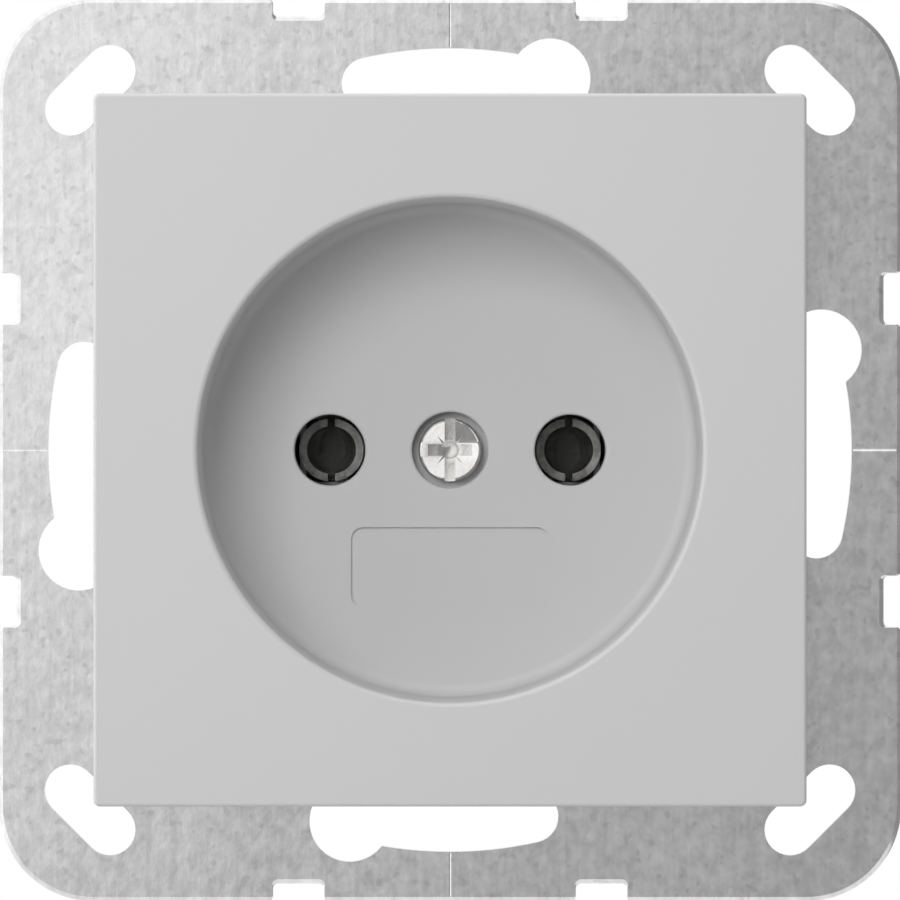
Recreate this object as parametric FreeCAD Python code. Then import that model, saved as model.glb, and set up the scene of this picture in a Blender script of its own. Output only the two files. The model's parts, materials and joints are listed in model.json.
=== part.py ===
import FreeCAD, Part
import os
from math import cos, degrees, radians, sin, sqrt, tan

V = FreeCAD.Vector

# Flush-mounted two-pole wall socket for round pins, without earth, in millimetres.
# X is to the right, Z is up and Y goes into the wall. The origin is the middle of
# the mounting frame's back face, which lies on the wall, so the wall is at Y = 0.

# Clearances
SEAT_GAP = 0.1          # pieces that lie in a moulded seat
FIT_GAP = 0.05          # turned pieces in their bores
LOOSE_GAP = 0.3         # pieces that pass one another
EDGE_BREAK = 0.25       # small bevel on moulded edges

# Mounting frame, stamped from sheet steel
FRAME_T = 1.0
FRAME_CORNER_R = 7.5
FRAME_EDGE = 0.35       # die roll on the front of the outer edge
NOTCH_OFFSET = 11.87    # from the middle of a side to the middle of a notch
NOTCH_W = 4.0
NOTCH_DEPTH = 1.4
NOTCH_CORNER = 0.4
FRAME_RIM = 3.9         # metal outside an arc slot
SLOT_WEB = 0.85         # metal between a claw screw's hole and an arc slot
ARC_SLOT_W = 4.1
ARC_SLOT_END = 12.65    # degrees from the axis to the centre of the plain end
KEYHOLE_R = 3.05
KEYHOLE_OUTSET = 0.7    # middle of the slot to the middle of its round opening
KEYHOLE_ANGLE = 15.1    # degrees from the axis
CORNER_SLOT_INSET = 10.16   # square corner of the frame to the middle of a corner slot
CORNER_SLOT_L = 4.37
CORNER_SLOT_R = 2.02
MARK_W = 0.22           # scribed line in the middle of each side
MARK_DEPTH = 0.12

# Cover plate
COVER_MARGIN = 8.0      # recess to the edge of the cover
COVER_RISE = 10.0       # front of the frame to the front of the cover
COVER_T = 2.0
COVER_SKIRT_T = 1.5
COVER_SKIRT_LIFT = 2.5  # room under the skirt for the lip of an outer trim frame
COVER_CORNER_R = 0.5
COVER_EDGE = 0.28
COVER_RIB_T = 1.2
COVER_RIB_DEPTH = 3.5
COVER_POST_INSET = 7.9  # corner of the cover to the middle of a post
COVER_POST_W = 2.6
RECESS_R = 19.5
RECESS_DEPTH = 15.0
RECESS_WALL_T = 1.5
RECESS_RIM = 0.4
RECESS_FLOOR_T = 2.0
RECESS_FLOOR_EDGE = 1.0
PIN_SPACING = 19.0
PIN_HOLE_R = 2.8
PIN_LENGTH = 19.0
FIELD_W = 15.65         # bare name field in the recess floor
FIELD_H = 6.3
FIELD_DROP = 9.25
FIELD_DEPTH = 0.15
FIELD_CORNER_R = 0.95

# Cover screw and its insert
SCREW_BORE_R = 3.0
SCREW_SEAT_T = 0.6      # recess floor left under the screw's head
SCREW_HEAD_R = 2.5
SCREW_HEAD_H = 1.1
SCREW_SHANK_R = 1.2
SCREW_SHANK_L = 13.0
SCREW_PASS_GAP = 0.25
DRIVE_SLOT_W = 0.85
DRIVE_SLOT_DEPTH = 0.6
DRIVE_CROSS_SPAN = 3.5
DRIVE_CROSS_W = 0.9
DRIVE_CROSS_DEPTH = 0.9
INSERT_R = 2.15
INSERT_L = 6.0

# Socket base
DECK_T = 2.4
COLLAR_T = 0.9
COLLAR_GAP = 0.2
EAR_END = 3.0           # middle of a rivet to the end of an ear
EAR_W = 7.0
EAR_T = 2.0
BLOCK_CORNER_R = 3.0
BLOCK_WALL_T = 1.5
WELL_HALF_W = 4.2
WELL_HALF_H = 5.0
SHELF_T = 1.2           # between a contact well and its wire chamber
CHAMBER_INNER_GAP = 1.0
CHAMBER_OUTER_GAP = 0.5
CHAMBER_H = 9.6         # busbar to the roof over the clamp springs
CHAMBER_FRONT = 3.6     # deck to the front of the wire chamber
CORE_WALL_T = 1.2
REAR_SPACE = 2.7        # contact bridge to the rear cover

# Rivets and locating pegs
RIVET_HEAD_GAP = 0.5
RIVET_R = 1.1
RIVET_HEAD_R = 1.8
RIVET_HEAD_H = 0.5

# Contacts
STRIP_T = 0.6
STRIP_BEND_R = 0.4
LEAF_R = 1.9            # inside of the half shell
LEAF_MOUTH_HALF_W = 1.95
LEAF_FROM_DECK = 4.0    # deck to the mouth of the leaves
LEAF_SLIT = 0.6
LEAF_SPARE = 0.2        # share of a leaf's length that is trimmed off at each end
PINCH_HALF_W = 1.1      # half the opening between the leaves where they are closest
PINCH_FROM_DECK = 9.6
LEG_W = 4.0
PIN_END_GAP = 0.6
BRIDGE_W = 6.2
BUSBAR_SIDE = 0.1       # busbar beyond the outer edge of a clamp spring
CLIP_T = 0.5
CLIP_L = 3.6
CLIP_BEND_R = 0.9
CLIP_OPENING = 2.4

# Wire clamps and release pushers
WIRE_HOLE_R = 1.6
WIRE_PITCH = 6.4        # between the two wires of a pole
POLE_SHIFT = 0.7        # middle of the wire pair, outwards of the pin
SPRING_T = 0.35
SPRING_W = 5.0
SPRING_BEND_R = 1.1
SPRING_ANGLE = 34.0     # degrees between the two legs
SPRING_BACK_GAP = 1.1   # bow of the spring to the rear cover
SPRING_TOP_LEG = 11.0
PUSHER_W = 3.0
PUSHER_H = 2.4
PUSHER_LIFT = 2.3       # middle of a wire to the underside of the pusher
PUSHER_HOOK = 1.3
PUSHER_HOOK_T = 0.8
PUSHER_PAD_W = 5.4
PUSHER_PAD_H = 4.4
PUSHER_PAD_T = 1.2
PUSHER_TRAVEL = 1.6
PUSHER_GAP = 0.15

# Rear cover
REAR_T = 2.0
HOOK_X = 10.0
HOOK_W = 5.0
HOOK_T = 1.2
HOOK_L = 8.0
HOOK_BARB = 0.8
HOOK_BARB_L = 1.8

# Spreading claws
CLAW_T = 1.0
CLAW_W = 12.0
CLAW_BEND_R = 0.5
CLAW_CHANNEL_DEPTH = 2.0
CLAW_FOOT_GAP = 1.6     # deck to the claw's foot
CLAW_FOOT_OVER = 3.3    # screw to the end of the claw's foot
CLAW_STRAIGHT = 7.0
CLAW_TIP_REACH = 5.4    # side of the block to the tips of the claw
CLAW_TIP_INSET = 0.9    # back of the rear cover to the tips of the claw
CLAW_FORK_W = 4.4
CLAW_TOOTH_DEPTH = 1.6
CLAW_TEETH = 2          # on each prong
CLAW_SWING = 14.0       # degrees, fully spread
CLAW_SCREW_COLLAR_GAP = 1.25
CLAW_SCREW_BLOCK_GAP = 3.45
CLAW_SCREW_R = 1.45
CLAW_SCREW_L = 24.0
CLAW_SCREW_HEAD_R = 2.5
CLAW_SCREW_HEAD_H = 1.8
CLAW_HOLE_GAP = 0.2

# Planes along Y that follow from the sizes above
FRAME_FRONT = -FRAME_T
COVER_FRONT = FRAME_FRONT - COVER_RISE
RECESS_FLOOR = COVER_FRONT + RECESS_DEPTH
DECK_FRONT = RECESS_FLOOR + RECESS_FLOOR_T
DECK_BACK = DECK_FRONT + DECK_T
PIN_END = RECESS_FLOOR + PIN_LENGTH
BRIDGE_FRONT = PIN_END + PIN_END_GAP
BRIDGE_BACK = BRIDGE_FRONT + STRIP_T
REAR_FRONT = BRIDGE_BACK + REAR_SPACE
REAR_BACK = REAR_FRONT + REAR_T

# Radii and places across the socket
DIAGONAL = sqrt(2)      # of a square with sides of 1
PIN_X = PIN_SPACING / 2
CUP_R = RECESS_R + RECESS_WALL_T
COLLAR_INNER_R = CUP_R + LOOSE_GAP
COLLAR_R = COLLAR_INNER_R + COLLAR_T
FRAME_OPENING_R = COLLAR_R + COLLAR_GAP
COVER_HALF = RECESS_R + COVER_MARGIN
COVER_POST_CIRCLE_R = COVER_HALF * DIAGONAL - COVER_POST_INSET
RIVET_CIRCLE_R = COLLAR_R + RIVET_HEAD_R + RIVET_HEAD_GAP
EAR_REACH = RIVET_CIRCLE_R + EAR_END
SHELF_TOP = WELL_HALF_H + SHELF_T
BUSBAR_BOTTOM = SHELF_TOP + SEAT_GAP
BUSBAR_TOP = BUSBAR_BOTTOM + STRIP_T
BUSBAR_HALF_W = WIRE_PITCH / 2 + SPRING_W / 2 + BUSBAR_SIDE
WIRE_Z = BUSBAR_TOP + WIRE_HOLE_R + FIT_GAP
WIRE_MIDDLE_X = PIN_X + POLE_SHIFT
CHAMBER_INNER_X = WIRE_MIDDLE_X - BUSBAR_HALF_W - CHAMBER_INNER_GAP
CHAMBER_OUTER_X = WIRE_MIDDLE_X + BUSBAR_HALF_W + CHAMBER_OUTER_GAP
CHANNEL_X = CHAMBER_OUTER_X + BLOCK_WALL_T
HALF_W = CHANNEL_X + CLAW_CHANNEL_DEPTH
CAVITY_TOP = BUSBAR_TOP + CHAMBER_H
HALF_H = CAVITY_TOP + BLOCK_WALL_T
CHANNEL_HALF_H = CLAW_W / 2 + LOOSE_GAP
CLAW_SCREW_X = max(COLLAR_R + CLAW_SCREW_COLLAR_GAP, HALF_W + CLAW_SCREW_BLOCK_GAP) + CLAW_SCREW_R
CLAW_FOOT_END = CLAW_SCREW_X + CLAW_FOOT_OVER
CLAW_TIP_X = HALF_W + CLAW_TIP_REACH
CLAW_TIP_Y = REAR_BACK - CLAW_TIP_INSET
ARC_SLOT_INNER_R = CLAW_SCREW_X + CLAW_SCREW_R + CLAW_HOLE_GAP + SLOT_WEB
ARC_SLOT_OUTER_R = ARC_SLOT_INNER_R + ARC_SLOT_W
ARC_SLOT_R = ARC_SLOT_INNER_R + ARC_SLOT_W / 2
KEYHOLE_CIRCLE_R = ARC_SLOT_R + KEYHOLE_OUTSET
FRAME_HALF = ARC_SLOT_OUTER_R + FRAME_RIM
CORNER_SLOT_CIRCLE_R = FRAME_HALF * DIAGONAL - CORNER_SLOT_INSET
FUSE = 0.5              # how far solids run into one another before they are joined
TINY = 0.005            # what counts as no length at all
SIDES = (0, 90, 180, 270)
DIAGONALS = (45, 135, 225, 315)


def box(x0, x1, y0, y1, z0, z1):
    """Block between two corners."""
    return Part.makeBox(x1 - x0, y1 - y0, z1 - z0, V(x0, y0, z0))


def rod(x, z, y0, y1, radius):
    """Round bar along Y."""
    return Part.makeCylinder(radius, y1 - y0, V(x, y0, z), V(0, 1, 0))


def cone(x, z, y0, y1, r0, r1):
    """Round taper along Y."""
    return Part.makeCone(r0, r1, y1 - y0, V(x, y0, z), V(0, 1, 0))


def round_edges(shape, radius, pick):
    """Round the edges for which pick is true."""
    return shape.makeFillet(radius, [edge for edge in shape.Edges if pick(edge)])


def bevel_edges(shape, size, pick):
    """Cut a narrow bevel along the edges for which pick is true."""
    return shape.makeChamfer(size, [edge for edge in shape.Edges if pick(edge)])


def runs_along_y(edge):
    """True for a straight edge along Y."""
    size = edge.BoundBox
    return size.YLength > FIT_GAP and max(size.XLength, size.ZLength) < TINY


def lies_at(edge, y):
    """True for an edge that lies in the plane at y."""
    return abs(edge.BoundBox.YMin - y) < TINY and abs(edge.BoundBox.YMax - y) < TINY


def is_circle(edge, radius):
    """True for a round edge of this radius."""
    return hasattr(edge.Curve, "Radius") and abs(edge.Curve.Radius - radius) < TINY


def rounded_plate(half_w, half_h, y0, y1, corner_r, x=0, z=0):
    """Rectangular plate across Y with round corners."""
    plate = box(x - half_w, x + half_w, y0, y1, z - half_h, z + half_h)
    return round_edges(plate, corner_r, runs_along_y)


def polar(radius, angle, y=0):
    """Point at a radius and an angle in degrees from +X towards +Z."""
    return V(radius * cos(radians(angle)), y, radius * sin(radians(angle)))


def four_ways(x, z):
    """A place and its mirror images about both axes."""
    return [(sx * x, sz * z) for sx in (1, -1) for sz in (1, -1)]


def mirrored(shape):
    """The same piece on the left."""
    return shape.mirror(V(0, 0, 0), V(1, 0, 0))


def side_box(side, x0, x1, y0, y1, z0, z1):
    """Block on the right of the middle, or its mirror image on the left where side is -1."""
    block = box(x0, x1, y0, y1, z0, z1)
    return block if side > 0 else mirrored(block)


def one_solid(shape):
    """Merged faces, and the solid by itself."""
    return shape.removeSplitter().Solids[0]


def bent_strip(path, thickness, bend_r, width):
    """Sheet strip along a path of (u, v) points, with round bends, centred on its width."""
    points = [V(u, v, 0) for u, v in path]
    heading = [(b - a).normalize() for a, b in zip(points, points[1:])]
    middle_r = bend_r + thickness / 2
    edges = []
    for offset in (thickness / 2, -thickness / 2):
        last = points[0] + left_of(heading[0]) * offset
        for corner, before, after in zip(points[1:-1], heading, heading[1:]):
            side = 1 if before.cross(after).z > 0 else -1
            reach = middle_r * tan(before.getAngle(after) / 2)
            centre = corner - before * reach + left_of(before) * side * middle_r
            start = corner - before * reach + left_of(before) * offset
            end = corner + after * reach + left_of(after) * offset
            crown = centre + (corner - centre).normalize() * (middle_r - side * offset)
            edges.append(Part.makeLine(last, start))
            edges.append(Part.Arc(start, crown, end).toShape())
            last = end
        edges.append(Part.makeLine(last, points[-1] + left_of(heading[-1]) * offset))
    for point, way in ((points[0], heading[0]), (points[-1], heading[-1])):
        across = left_of(way) * (thickness / 2)
        edges.append(Part.makeLine(point + across, point - across))
    strip = Part.Face(Part.Wire(Part.__sortEdges__(edges))).extrude(V(0, 0, width))
    strip.translate(V(0, 0, -width / 2))
    return strip


def left_of(way):
    """Unit vector a quarter turn to the left."""
    return V(-way.y, way.x, 0)


def on_yz(shape, x):
    """Stand a strip drawn in (u, v) up in the YZ plane, at x."""
    turned = shape.copy()
    stand = FreeCAD.Placement(V(x, 0, 0), FreeCAD.Rotation(V(1, 1, 1), 120))
    turned.Placement = stand.multiply(shape.Placement)
    return turned


def drive_recess(x, z, face_y, head_r, cross_depth):
    """Slot and cross that a screwdriver fits, cut into a head that faces the front."""
    slot = box(x - DRIVE_SLOT_W / 2, x + DRIVE_SLOT_W / 2, face_y, face_y + DRIVE_SLOT_DEPTH,
               z - head_r - FUSE, z + head_r + FUSE)
    reach = DRIVE_CROSS_SPAN / 2
    half = DRIVE_CROSS_W / 2
    upright = box(x - half, x + half, face_y, face_y + cross_depth, z - reach, z + reach)
    level = box(x - reach, x + reach, face_y, face_y + cross_depth, z - half, z + half)
    return slot.fuse([upright, level])


def arc_slot(key_angle, end_angle):
    """Cutter for one slot on an arc about the centre, with its round opening for a screw head."""
    inner = ARC_SLOT_INNER_R
    outer = ARC_SLOT_OUTER_R
    middle = (key_angle + end_angle) / 2
    y = FRAME_FRONT - FUSE
    way = 1 if end_angle > key_angle else -1
    tip_angle = end_angle + way * degrees(ARC_SLOT_W / 2 / ARC_SLOT_R)
    edges = [
        Part.Arc(polar(outer, key_angle, y), polar(outer, middle, y), polar(outer, end_angle, y)).toShape(),
        Part.Arc(polar(outer, end_angle, y), polar(ARC_SLOT_R, tip_angle, y),
                 polar(inner, end_angle, y)).toShape(),
        Part.Arc(polar(inner, end_angle, y), polar(inner, middle, y), polar(inner, key_angle, y)).toShape(),
        Part.makeLine(polar(inner, key_angle, y), polar(outer, key_angle, y)),
    ]
    slot = Part.Face(Part.Wire(edges)).extrude(V(0, FRAME_T + 2 * FUSE, 0))
    key = polar(KEYHOLE_CIRCLE_R, key_angle)
    return slot.fuse(rod(key.x, key.z, y, FUSE, KEYHOLE_R))


def corner_slot(angle):
    """Cutter for one slanting slot near a corner."""
    half = CORNER_SLOT_L / 2
    y = FRAME_FRONT - FUSE
    inner = CORNER_SLOT_CIRCLE_R - CORNER_SLOT_R
    slot = box(inner, CORNER_SLOT_CIRCLE_R + CORNER_SLOT_R, y, FUSE, -half, half)
    for end in (half, -half):
        slot = slot.fuse(rod(CORNER_SLOT_CIRCLE_R, end, y, FUSE, CORNER_SLOT_R))
    slot = slot.removeSplitter()
    slot.rotate(V(0, 0, 0), V(0, -1, 0), angle)
    return slot


def edge_notches():
    """Cutters for the two notches on each side of the frame."""
    cutters = []
    for side in SIDES:
        for offset in (NOTCH_OFFSET, -NOTCH_OFFSET):
            notch = box(FRAME_HALF - NOTCH_DEPTH, FRAME_HALF + FUSE, FRAME_FRONT - FUSE, FUSE,
                        offset - NOTCH_W / 2, offset + NOTCH_W / 2)
            notch.rotate(V(0, 0, 0), V(0, -1, 0), side)
            cutters.append(notch)
    return cutters


def scribed_marks():
    """Cutters for the fine line in the middle of each side."""
    cutters = []
    for side in SIDES:
        mark = box(ARC_SLOT_R, FRAME_HALF + FUSE, FRAME_FRONT - FUSE, FRAME_FRONT + MARK_DEPTH,
                   -MARK_W / 2, MARK_W / 2)
        mark.rotate(V(0, 0, 0), V(0, -1, 0), side)
        cutters.append(mark)
    return cutters


def make_mounting_frame():
    """Stamped square frame that lies on the wall and carries the socket."""
    frame = rounded_plate(FRAME_HALF, FRAME_HALF, FRAME_FRONT, 0, FRAME_CORNER_R)
    frame = frame.cut(edge_notches())
    in_notch = FRAME_HALF - NOTCH_DEPTH - FIT_GAP
    near_middle = NOTCH_OFFSET + NOTCH_W

    def at_notch(edge):
        x, z = abs(edge.BoundBox.XMin), abs(edge.BoundBox.ZMin)
        return runs_along_y(edge) and max(x, z) > in_notch and min(x, z) < near_middle

    frame = bevel_edges(frame, NOTCH_CORNER, at_notch)
    frame = bevel_edges(frame, FRAME_EDGE, lambda edge: lies_at(edge, FRAME_FRONT))
    slots = [corner_slot(angle) for angle in DIAGONALS]
    for side, way in zip(SIDES, (1, -1, 1, -1)):
        slots.append(arc_slot(side + way * KEYHOLE_ANGLE, side - way * ARC_SLOT_END))
    frame = frame.cut(slots)
    frame = frame.cut(scribed_marks())
    holes = [rod(0, 0, FRAME_FRONT - FUSE, FUSE, FRAME_OPENING_R)]
    for x, z in rivet_places():
        holes.append(rod(x, z, FRAME_FRONT - FUSE, FUSE, RIVET_R + FIT_GAP))
    for x in (CLAW_SCREW_X, -CLAW_SCREW_X):
        holes.append(rod(x, 0, FRAME_FRONT - FUSE, FUSE, CLAW_SCREW_R + CLAW_HOLE_GAP))
    return one_solid(frame.cut(holes))


def cover_shell():
    """Front plate with its skirt, hollow from behind."""
    back = FRAME_FRONT - COVER_SKIRT_LIFT
    shell = rounded_plate(COVER_HALF, COVER_HALF, COVER_FRONT, back, COVER_CORNER_R)
    shell = bevel_edges(shell, COVER_EDGE, lambda edge: lies_at(edge, COVER_FRONT))
    inside = COVER_HALF - COVER_SKIRT_T
    hollow = box(-inside, inside, COVER_FRONT + COVER_T, back + FUSE, -inside, inside)
    return shell.cut(hollow)


def cover_stiffeners():
    """Diagonal ribs and the four posts that steady the cover over the frame."""
    rib_back = COVER_FRONT + COVER_T + COVER_RIB_DEPTH
    pieces = []
    for angle in DIAGONALS:
        rib = box(RECESS_R + RECESS_WALL_T / 2, COVER_POST_CIRCLE_R, COVER_FRONT + COVER_T - FUSE, rib_back,
                  -COVER_RIB_T / 2, COVER_RIB_T / 2)
        post = box(COVER_POST_CIRCLE_R - COVER_POST_W / 2, COVER_POST_CIRCLE_R + COVER_POST_W / 2,
                   COVER_FRONT + COVER_T - FUSE, FRAME_FRONT - SEAT_GAP, -COVER_POST_W / 2, COVER_POST_W / 2)
        for piece in (rib, post):
            piece.rotate(V(0, 0, 0), V(0, -1, 0), angle)
            pieces.append(piece)
    return pieces


def pin_hole(x):
    """Cutter for a pin hole in the recess floor, with a bevelled mouth."""
    hole = rod(x, 0, RECESS_FLOOR, DECK_FRONT + FUSE, PIN_HOLE_R)
    return hole.fuse(cone(x, 0, RECESS_FLOOR, RECESS_FLOOR + EDGE_BREAK, PIN_HOLE_R + EDGE_BREAK, PIN_HOLE_R))


def make_cover_plate():
    """Moulded cover with the plug recess."""
    cover = cover_shell().fuse(cover_stiffeners() + [rod(0, 0, COVER_FRONT + COVER_EDGE, DECK_FRONT, CUP_R)])
    recess = rod(0, 0, COVER_FRONT - FUSE, RECESS_FLOOR, RECESS_R)
    recess = bevel_edges(recess, RECESS_FLOOR_EDGE, lambda edge: lies_at(edge, RECESS_FLOOR))
    cover = cover.cut(recess)
    cover = bevel_edges(cover, RECESS_RIM,
                        lambda edge: lies_at(edge, COVER_FRONT) and is_circle(edge, RECESS_R))
    field = rounded_plate(FIELD_W / 2, FIELD_H / 2, RECESS_FLOOR - FUSE, RECESS_FLOOR + FIELD_DEPTH,
                          FIELD_CORNER_R, 0, -FIELD_DROP)
    screw_seat = DECK_FRONT - SCREW_SEAT_T
    screw_way = rod(0, 0, RECESS_FLOOR - FUSE, screw_seat, SCREW_BORE_R)
    shank_way = rod(0, 0, screw_seat - FUSE, DECK_FRONT + FUSE, SCREW_SHANK_R + SCREW_PASS_GAP)
    cover = cover.cut([field, screw_way, shank_way, pin_hole(PIN_X), pin_hole(-PIN_X)])
    cover = bevel_edges(cover, EDGE_BREAK,
                        lambda edge: lies_at(edge, RECESS_FLOOR) and is_circle(edge, SCREW_BORE_R))
    return one_solid(cover)


def make_screw(x, face_y, head_r, head_h, shank_r, shank_l):
    """Screw that points into the wall, with a slot and cross in its head."""
    head = rod(x, 0, face_y, face_y + head_h, head_r)
    head = bevel_edges(head, EDGE_BREAK, lambda edge: lies_at(edge, face_y))
    screw = head.fuse(rod(x, 0, face_y + head_h - FUSE, face_y + head_h + shank_l, shank_r))
    return one_solid(screw.cut(drive_recess(x, 0, face_y, head_r, DRIVE_CROSS_DEPTH)))


def make_cover_screw():
    """Screw in the middle of the recess."""
    face = DECK_FRONT - SCREW_SEAT_T - SCREW_HEAD_H
    return make_screw(0, face, SCREW_HEAD_R, SCREW_HEAD_H, SCREW_SHANK_R, SCREW_SHANK_L)


def make_cover_insert():
    """Threaded insert pressed into the base from behind."""
    front = DECK_BACK + SEAT_GAP
    insert = rod(0, 0, front, front + INSERT_L, INSERT_R)
    bore = rod(0, 0, front - FUSE, front + INSERT_L + FUSE, SCREW_SHANK_R + FIT_GAP)
    return one_solid(insert.cut(bore))


def rivet_places():
    """Where the two rivets sit, as (x, z)."""
    place = RIVET_CIRCLE_R / DIAGONAL
    return [(place, place), (-place, -place)]


def make_frame_rivets():
    """Two rivets through the frame and the base's ears."""
    rivets = []
    for x, z in rivet_places():
        rivet = rod(x, z, FRAME_FRONT, EAR_T, RIVET_R)
        rivet = rivet.fuse([rod(x, z, FRAME_FRONT - RIVET_HEAD_H, FRAME_FRONT, RIVET_HEAD_R),
                            rod(x, z, EAR_T, EAR_T + RIVET_HEAD_H, RIVET_HEAD_R)])
        rivets.append(one_solid(rivet))
    return Part.makeCompound(rivets)


def base_front():
    """Deck, collar and the four ears of the base, round the cover's cup."""
    front = rod(0, 0, FRAME_FRONT, DECK_BACK, COLLAR_R)
    for angle in DIAGONALS:
        ear = box(COLLAR_INNER_R, EAR_REACH, 0, EAR_T, -EAR_W / 2, EAR_W / 2)
        ear.rotate(V(0, 0, 0), V(0, -1, 0), angle)
        front = front.fuse(ear)
    front = front.cut(rod(0, 0, FRAME_FRONT - FUSE, DECK_FRONT, COLLAR_INNER_R))
    return front.cut([rod(x, z, -FUSE, EAR_T + FUSE, RIVET_R + FIT_GAP) for x, z in rivet_places()])


def base_cavities():
    """Cutters for the rooms in the base, all open to the back."""
    back = REAR_FRONT + FUSE
    rooms = []
    link = BRIDGE_W / 2 + LOOSE_GAP
    link_front = BRIDGE_FRONT - LOOSE_GAP - STRIP_BEND_R
    chamber_front = DECK_BACK + CHAMBER_FRONT
    for side in (1, -1):
        rooms.append(side_box(side, PIN_X - WELL_HALF_W, PIN_X + WELL_HALF_W, DECK_BACK, back,
                              -WELL_HALF_H, WELL_HALF_H))
        rooms.append(side_box(side, PIN_X - link, PIN_X + link, link_front, back, 0, SHELF_TOP + FUSE))
        rooms.append(side_box(side, CHAMBER_INNER_X, CHAMBER_OUTER_X, chamber_front, back,
                              SHELF_TOP, CAVITY_TOP))
        rooms.append(side_box(side, CORE_WALL_T / 2, CHAMBER_OUTER_X, DECK_BACK, back,
                              -CAVITY_TOP, -SHELF_TOP))
    core = CHAMBER_INNER_X - CORE_WALL_T
    rooms.append(box(-core, core, DECK_BACK, back, SHELF_TOP, CAVITY_TOP))
    return rooms


def hook_windows():
    """Cutters for the places where the rear cover's hooks catch."""
    half = HOOK_W / 2 + SEAT_GAP
    front = REAR_FRONT - HOOK_L - SEAT_GAP
    back = REAR_FRONT - HOOK_L + HOOK_BARB_L + SEAT_GAP
    windows = []
    for side in (1, -1):
        window = side_box(side, HOOK_X - half, HOOK_X + half, front, back,
                          HALF_H - HOOK_BARB - SEAT_GAP, HALF_H + FUSE)
        windows += [window, window.mirror(V(0, 0, 0), V(0, 0, 1))]
    return windows


def make_socket_base():
    """Black insulating housing that carries every inner piece."""
    block = rounded_plate(HALF_W, HALF_H, DECK_FRONT, REAR_FRONT, BLOCK_CORNER_R)
    channels = [side_box(side, CHANNEL_X, HALF_W + FUSE, DECK_BACK, REAR_FRONT + FUSE,
                         -CHANNEL_HALF_H, CHANNEL_HALF_H) for side in (1, -1)]
    base = block.cut(channels).fuse(base_front()).cut(base_cavities() + hook_windows())
    heels = [side_box(side, CHANNEL_X - FUSE, CHANNEL_X + CLAW_T + LOOSE_GAP, DECK_BACK - FUSE,
                      DECK_BACK + CLAW_FOOT_GAP - LOOSE_GAP, -CLAW_W / 2 + CLAW_T, CLAW_W / 2 - CLAW_T)
             for side in (1, -1)]
    base = base.fuse(heels)
    ways = [rod(x, 0, DECK_FRONT - FUSE, DECK_BACK + FUSE, PIN_HOLE_R) for x in (PIN_X, -PIN_X)]
    ways.append(rod(0, 0, DECK_FRONT - FUSE, DECK_BACK + FUSE, SCREW_SHANK_R + SCREW_PASS_GAP))
    ways.append(rod(0, 0, DECK_BACK, REAR_FRONT + FUSE, INSERT_R + FIT_GAP))
    return one_solid(base.cut(ways))


def contact_leaf():
    """Springy leaf on the +X side of the pin's axis: a half shell that leans inwards from its mouth."""
    front = DECK_BACK + LEAF_FROM_DECK
    pinch = DECK_BACK + PINCH_FROM_DECK
    lean = V(PINCH_HALF_W - LEAF_MOUTH_HALF_W, pinch - front, 0)
    start = V(LEAF_MOUTH_HALF_W - LEAF_R, front, 0) - lean * LEAF_SPARE
    length = lean.Length * (1 + 2 * LEAF_SPARE)
    outer = Part.makeCylinder(LEAF_R + STRIP_T, length, start, lean)
    inner = Part.makeCylinder(LEAF_R, length, start, lean)
    reach = LEAF_MOUTH_HALF_W + STRIP_T + FUSE
    shell = outer.cut(inner).common(box(LEAF_SLIT / 2, reach, front, pinch, -reach, reach))
    leg = box(PINCH_HALF_W, PINCH_HALF_W + STRIP_T, pinch, BRIDGE_FRONT + STRIP_T / 2, -LEG_W / 2, LEG_W / 2)
    return shell.fuse(leg)


def make_contact():
    """Right contact: two leaves round the pin, a bridge behind it and the busbar under the wires."""
    leaf = contact_leaf()
    other = leaf.mirror(V(0, 0, 0), V(1, 0, 0))
    leaf.translate(V(PIN_X, 0, 0))
    other.translate(V(PIN_X, 0, 0))
    middle = (BRIDGE_FRONT + BRIDGE_BACK) / 2
    level = (BUSBAR_BOTTOM + BUSBAR_TOP) / 2
    bar_front = DECK_BACK + CHAMBER_FRONT + LOOSE_GAP
    path = [(middle, -LEG_W / 2 - STRIP_T), (middle, level), (bar_front, level)]
    strap = on_yz(bent_strip(path, STRIP_T, STRIP_BEND_R, BRIDGE_W), PIN_X)
    bar = box(WIRE_MIDDLE_X - BUSBAR_HALF_W, WIRE_MIDDLE_X + BUSBAR_HALF_W,
              bar_front, BRIDGE_FRONT - STRIP_BEND_R, BUSBAR_BOTTOM, BUSBAR_TOP)
    return one_solid(strap.fuse([bar, leaf, other]))


def make_contact_clip():
    """Steel clip that presses the leaves of the right contact together, open at the top."""
    y = DECK_BACK + PINCH_FROM_DECK
    reach = (LEAF_MOUTH_HALF_W - PINCH_HALF_W) * (CLIP_L / 2) / (PINCH_FROM_DECK - LEAF_FROM_DECK)
    half_w = PINCH_HALF_W + STRIP_T + reach + SEAT_GAP + CLIP_T / 2
    half_h = LEAF_R + STRIP_T + SEAT_GAP + CLIP_T / 2
    gap = CLIP_OPENING / 2
    path = [(gap, half_h), (half_w, half_h), (half_w, -half_h), (-half_w, -half_h), (-half_w, half_h),
            (-gap, half_h)]
    clip = bent_strip(path, CLIP_T, CLIP_BEND_R / 2, CLIP_L)
    clip.rotate(V(0, 0, 0), V(1, 0, 0), 90)
    clip.translate(V(PIN_X, y, 0))
    return clip.Solids[0]


def spring_corner():
    """Where the two legs of a clamp spring would meet if it had no bow, as (y, z)."""
    level = CAVITY_TOP - SEAT_GAP - SPRING_T / 2
    middle_r = SPRING_BEND_R + SPRING_T / 2
    bow_centre = REAR_FRONT - SPRING_BACK_GAP - SPRING_BEND_R - SPRING_T
    reach = middle_r * tan(radians(180 - SPRING_ANGLE) / 2)
    return bow_centre + reach, level


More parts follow.
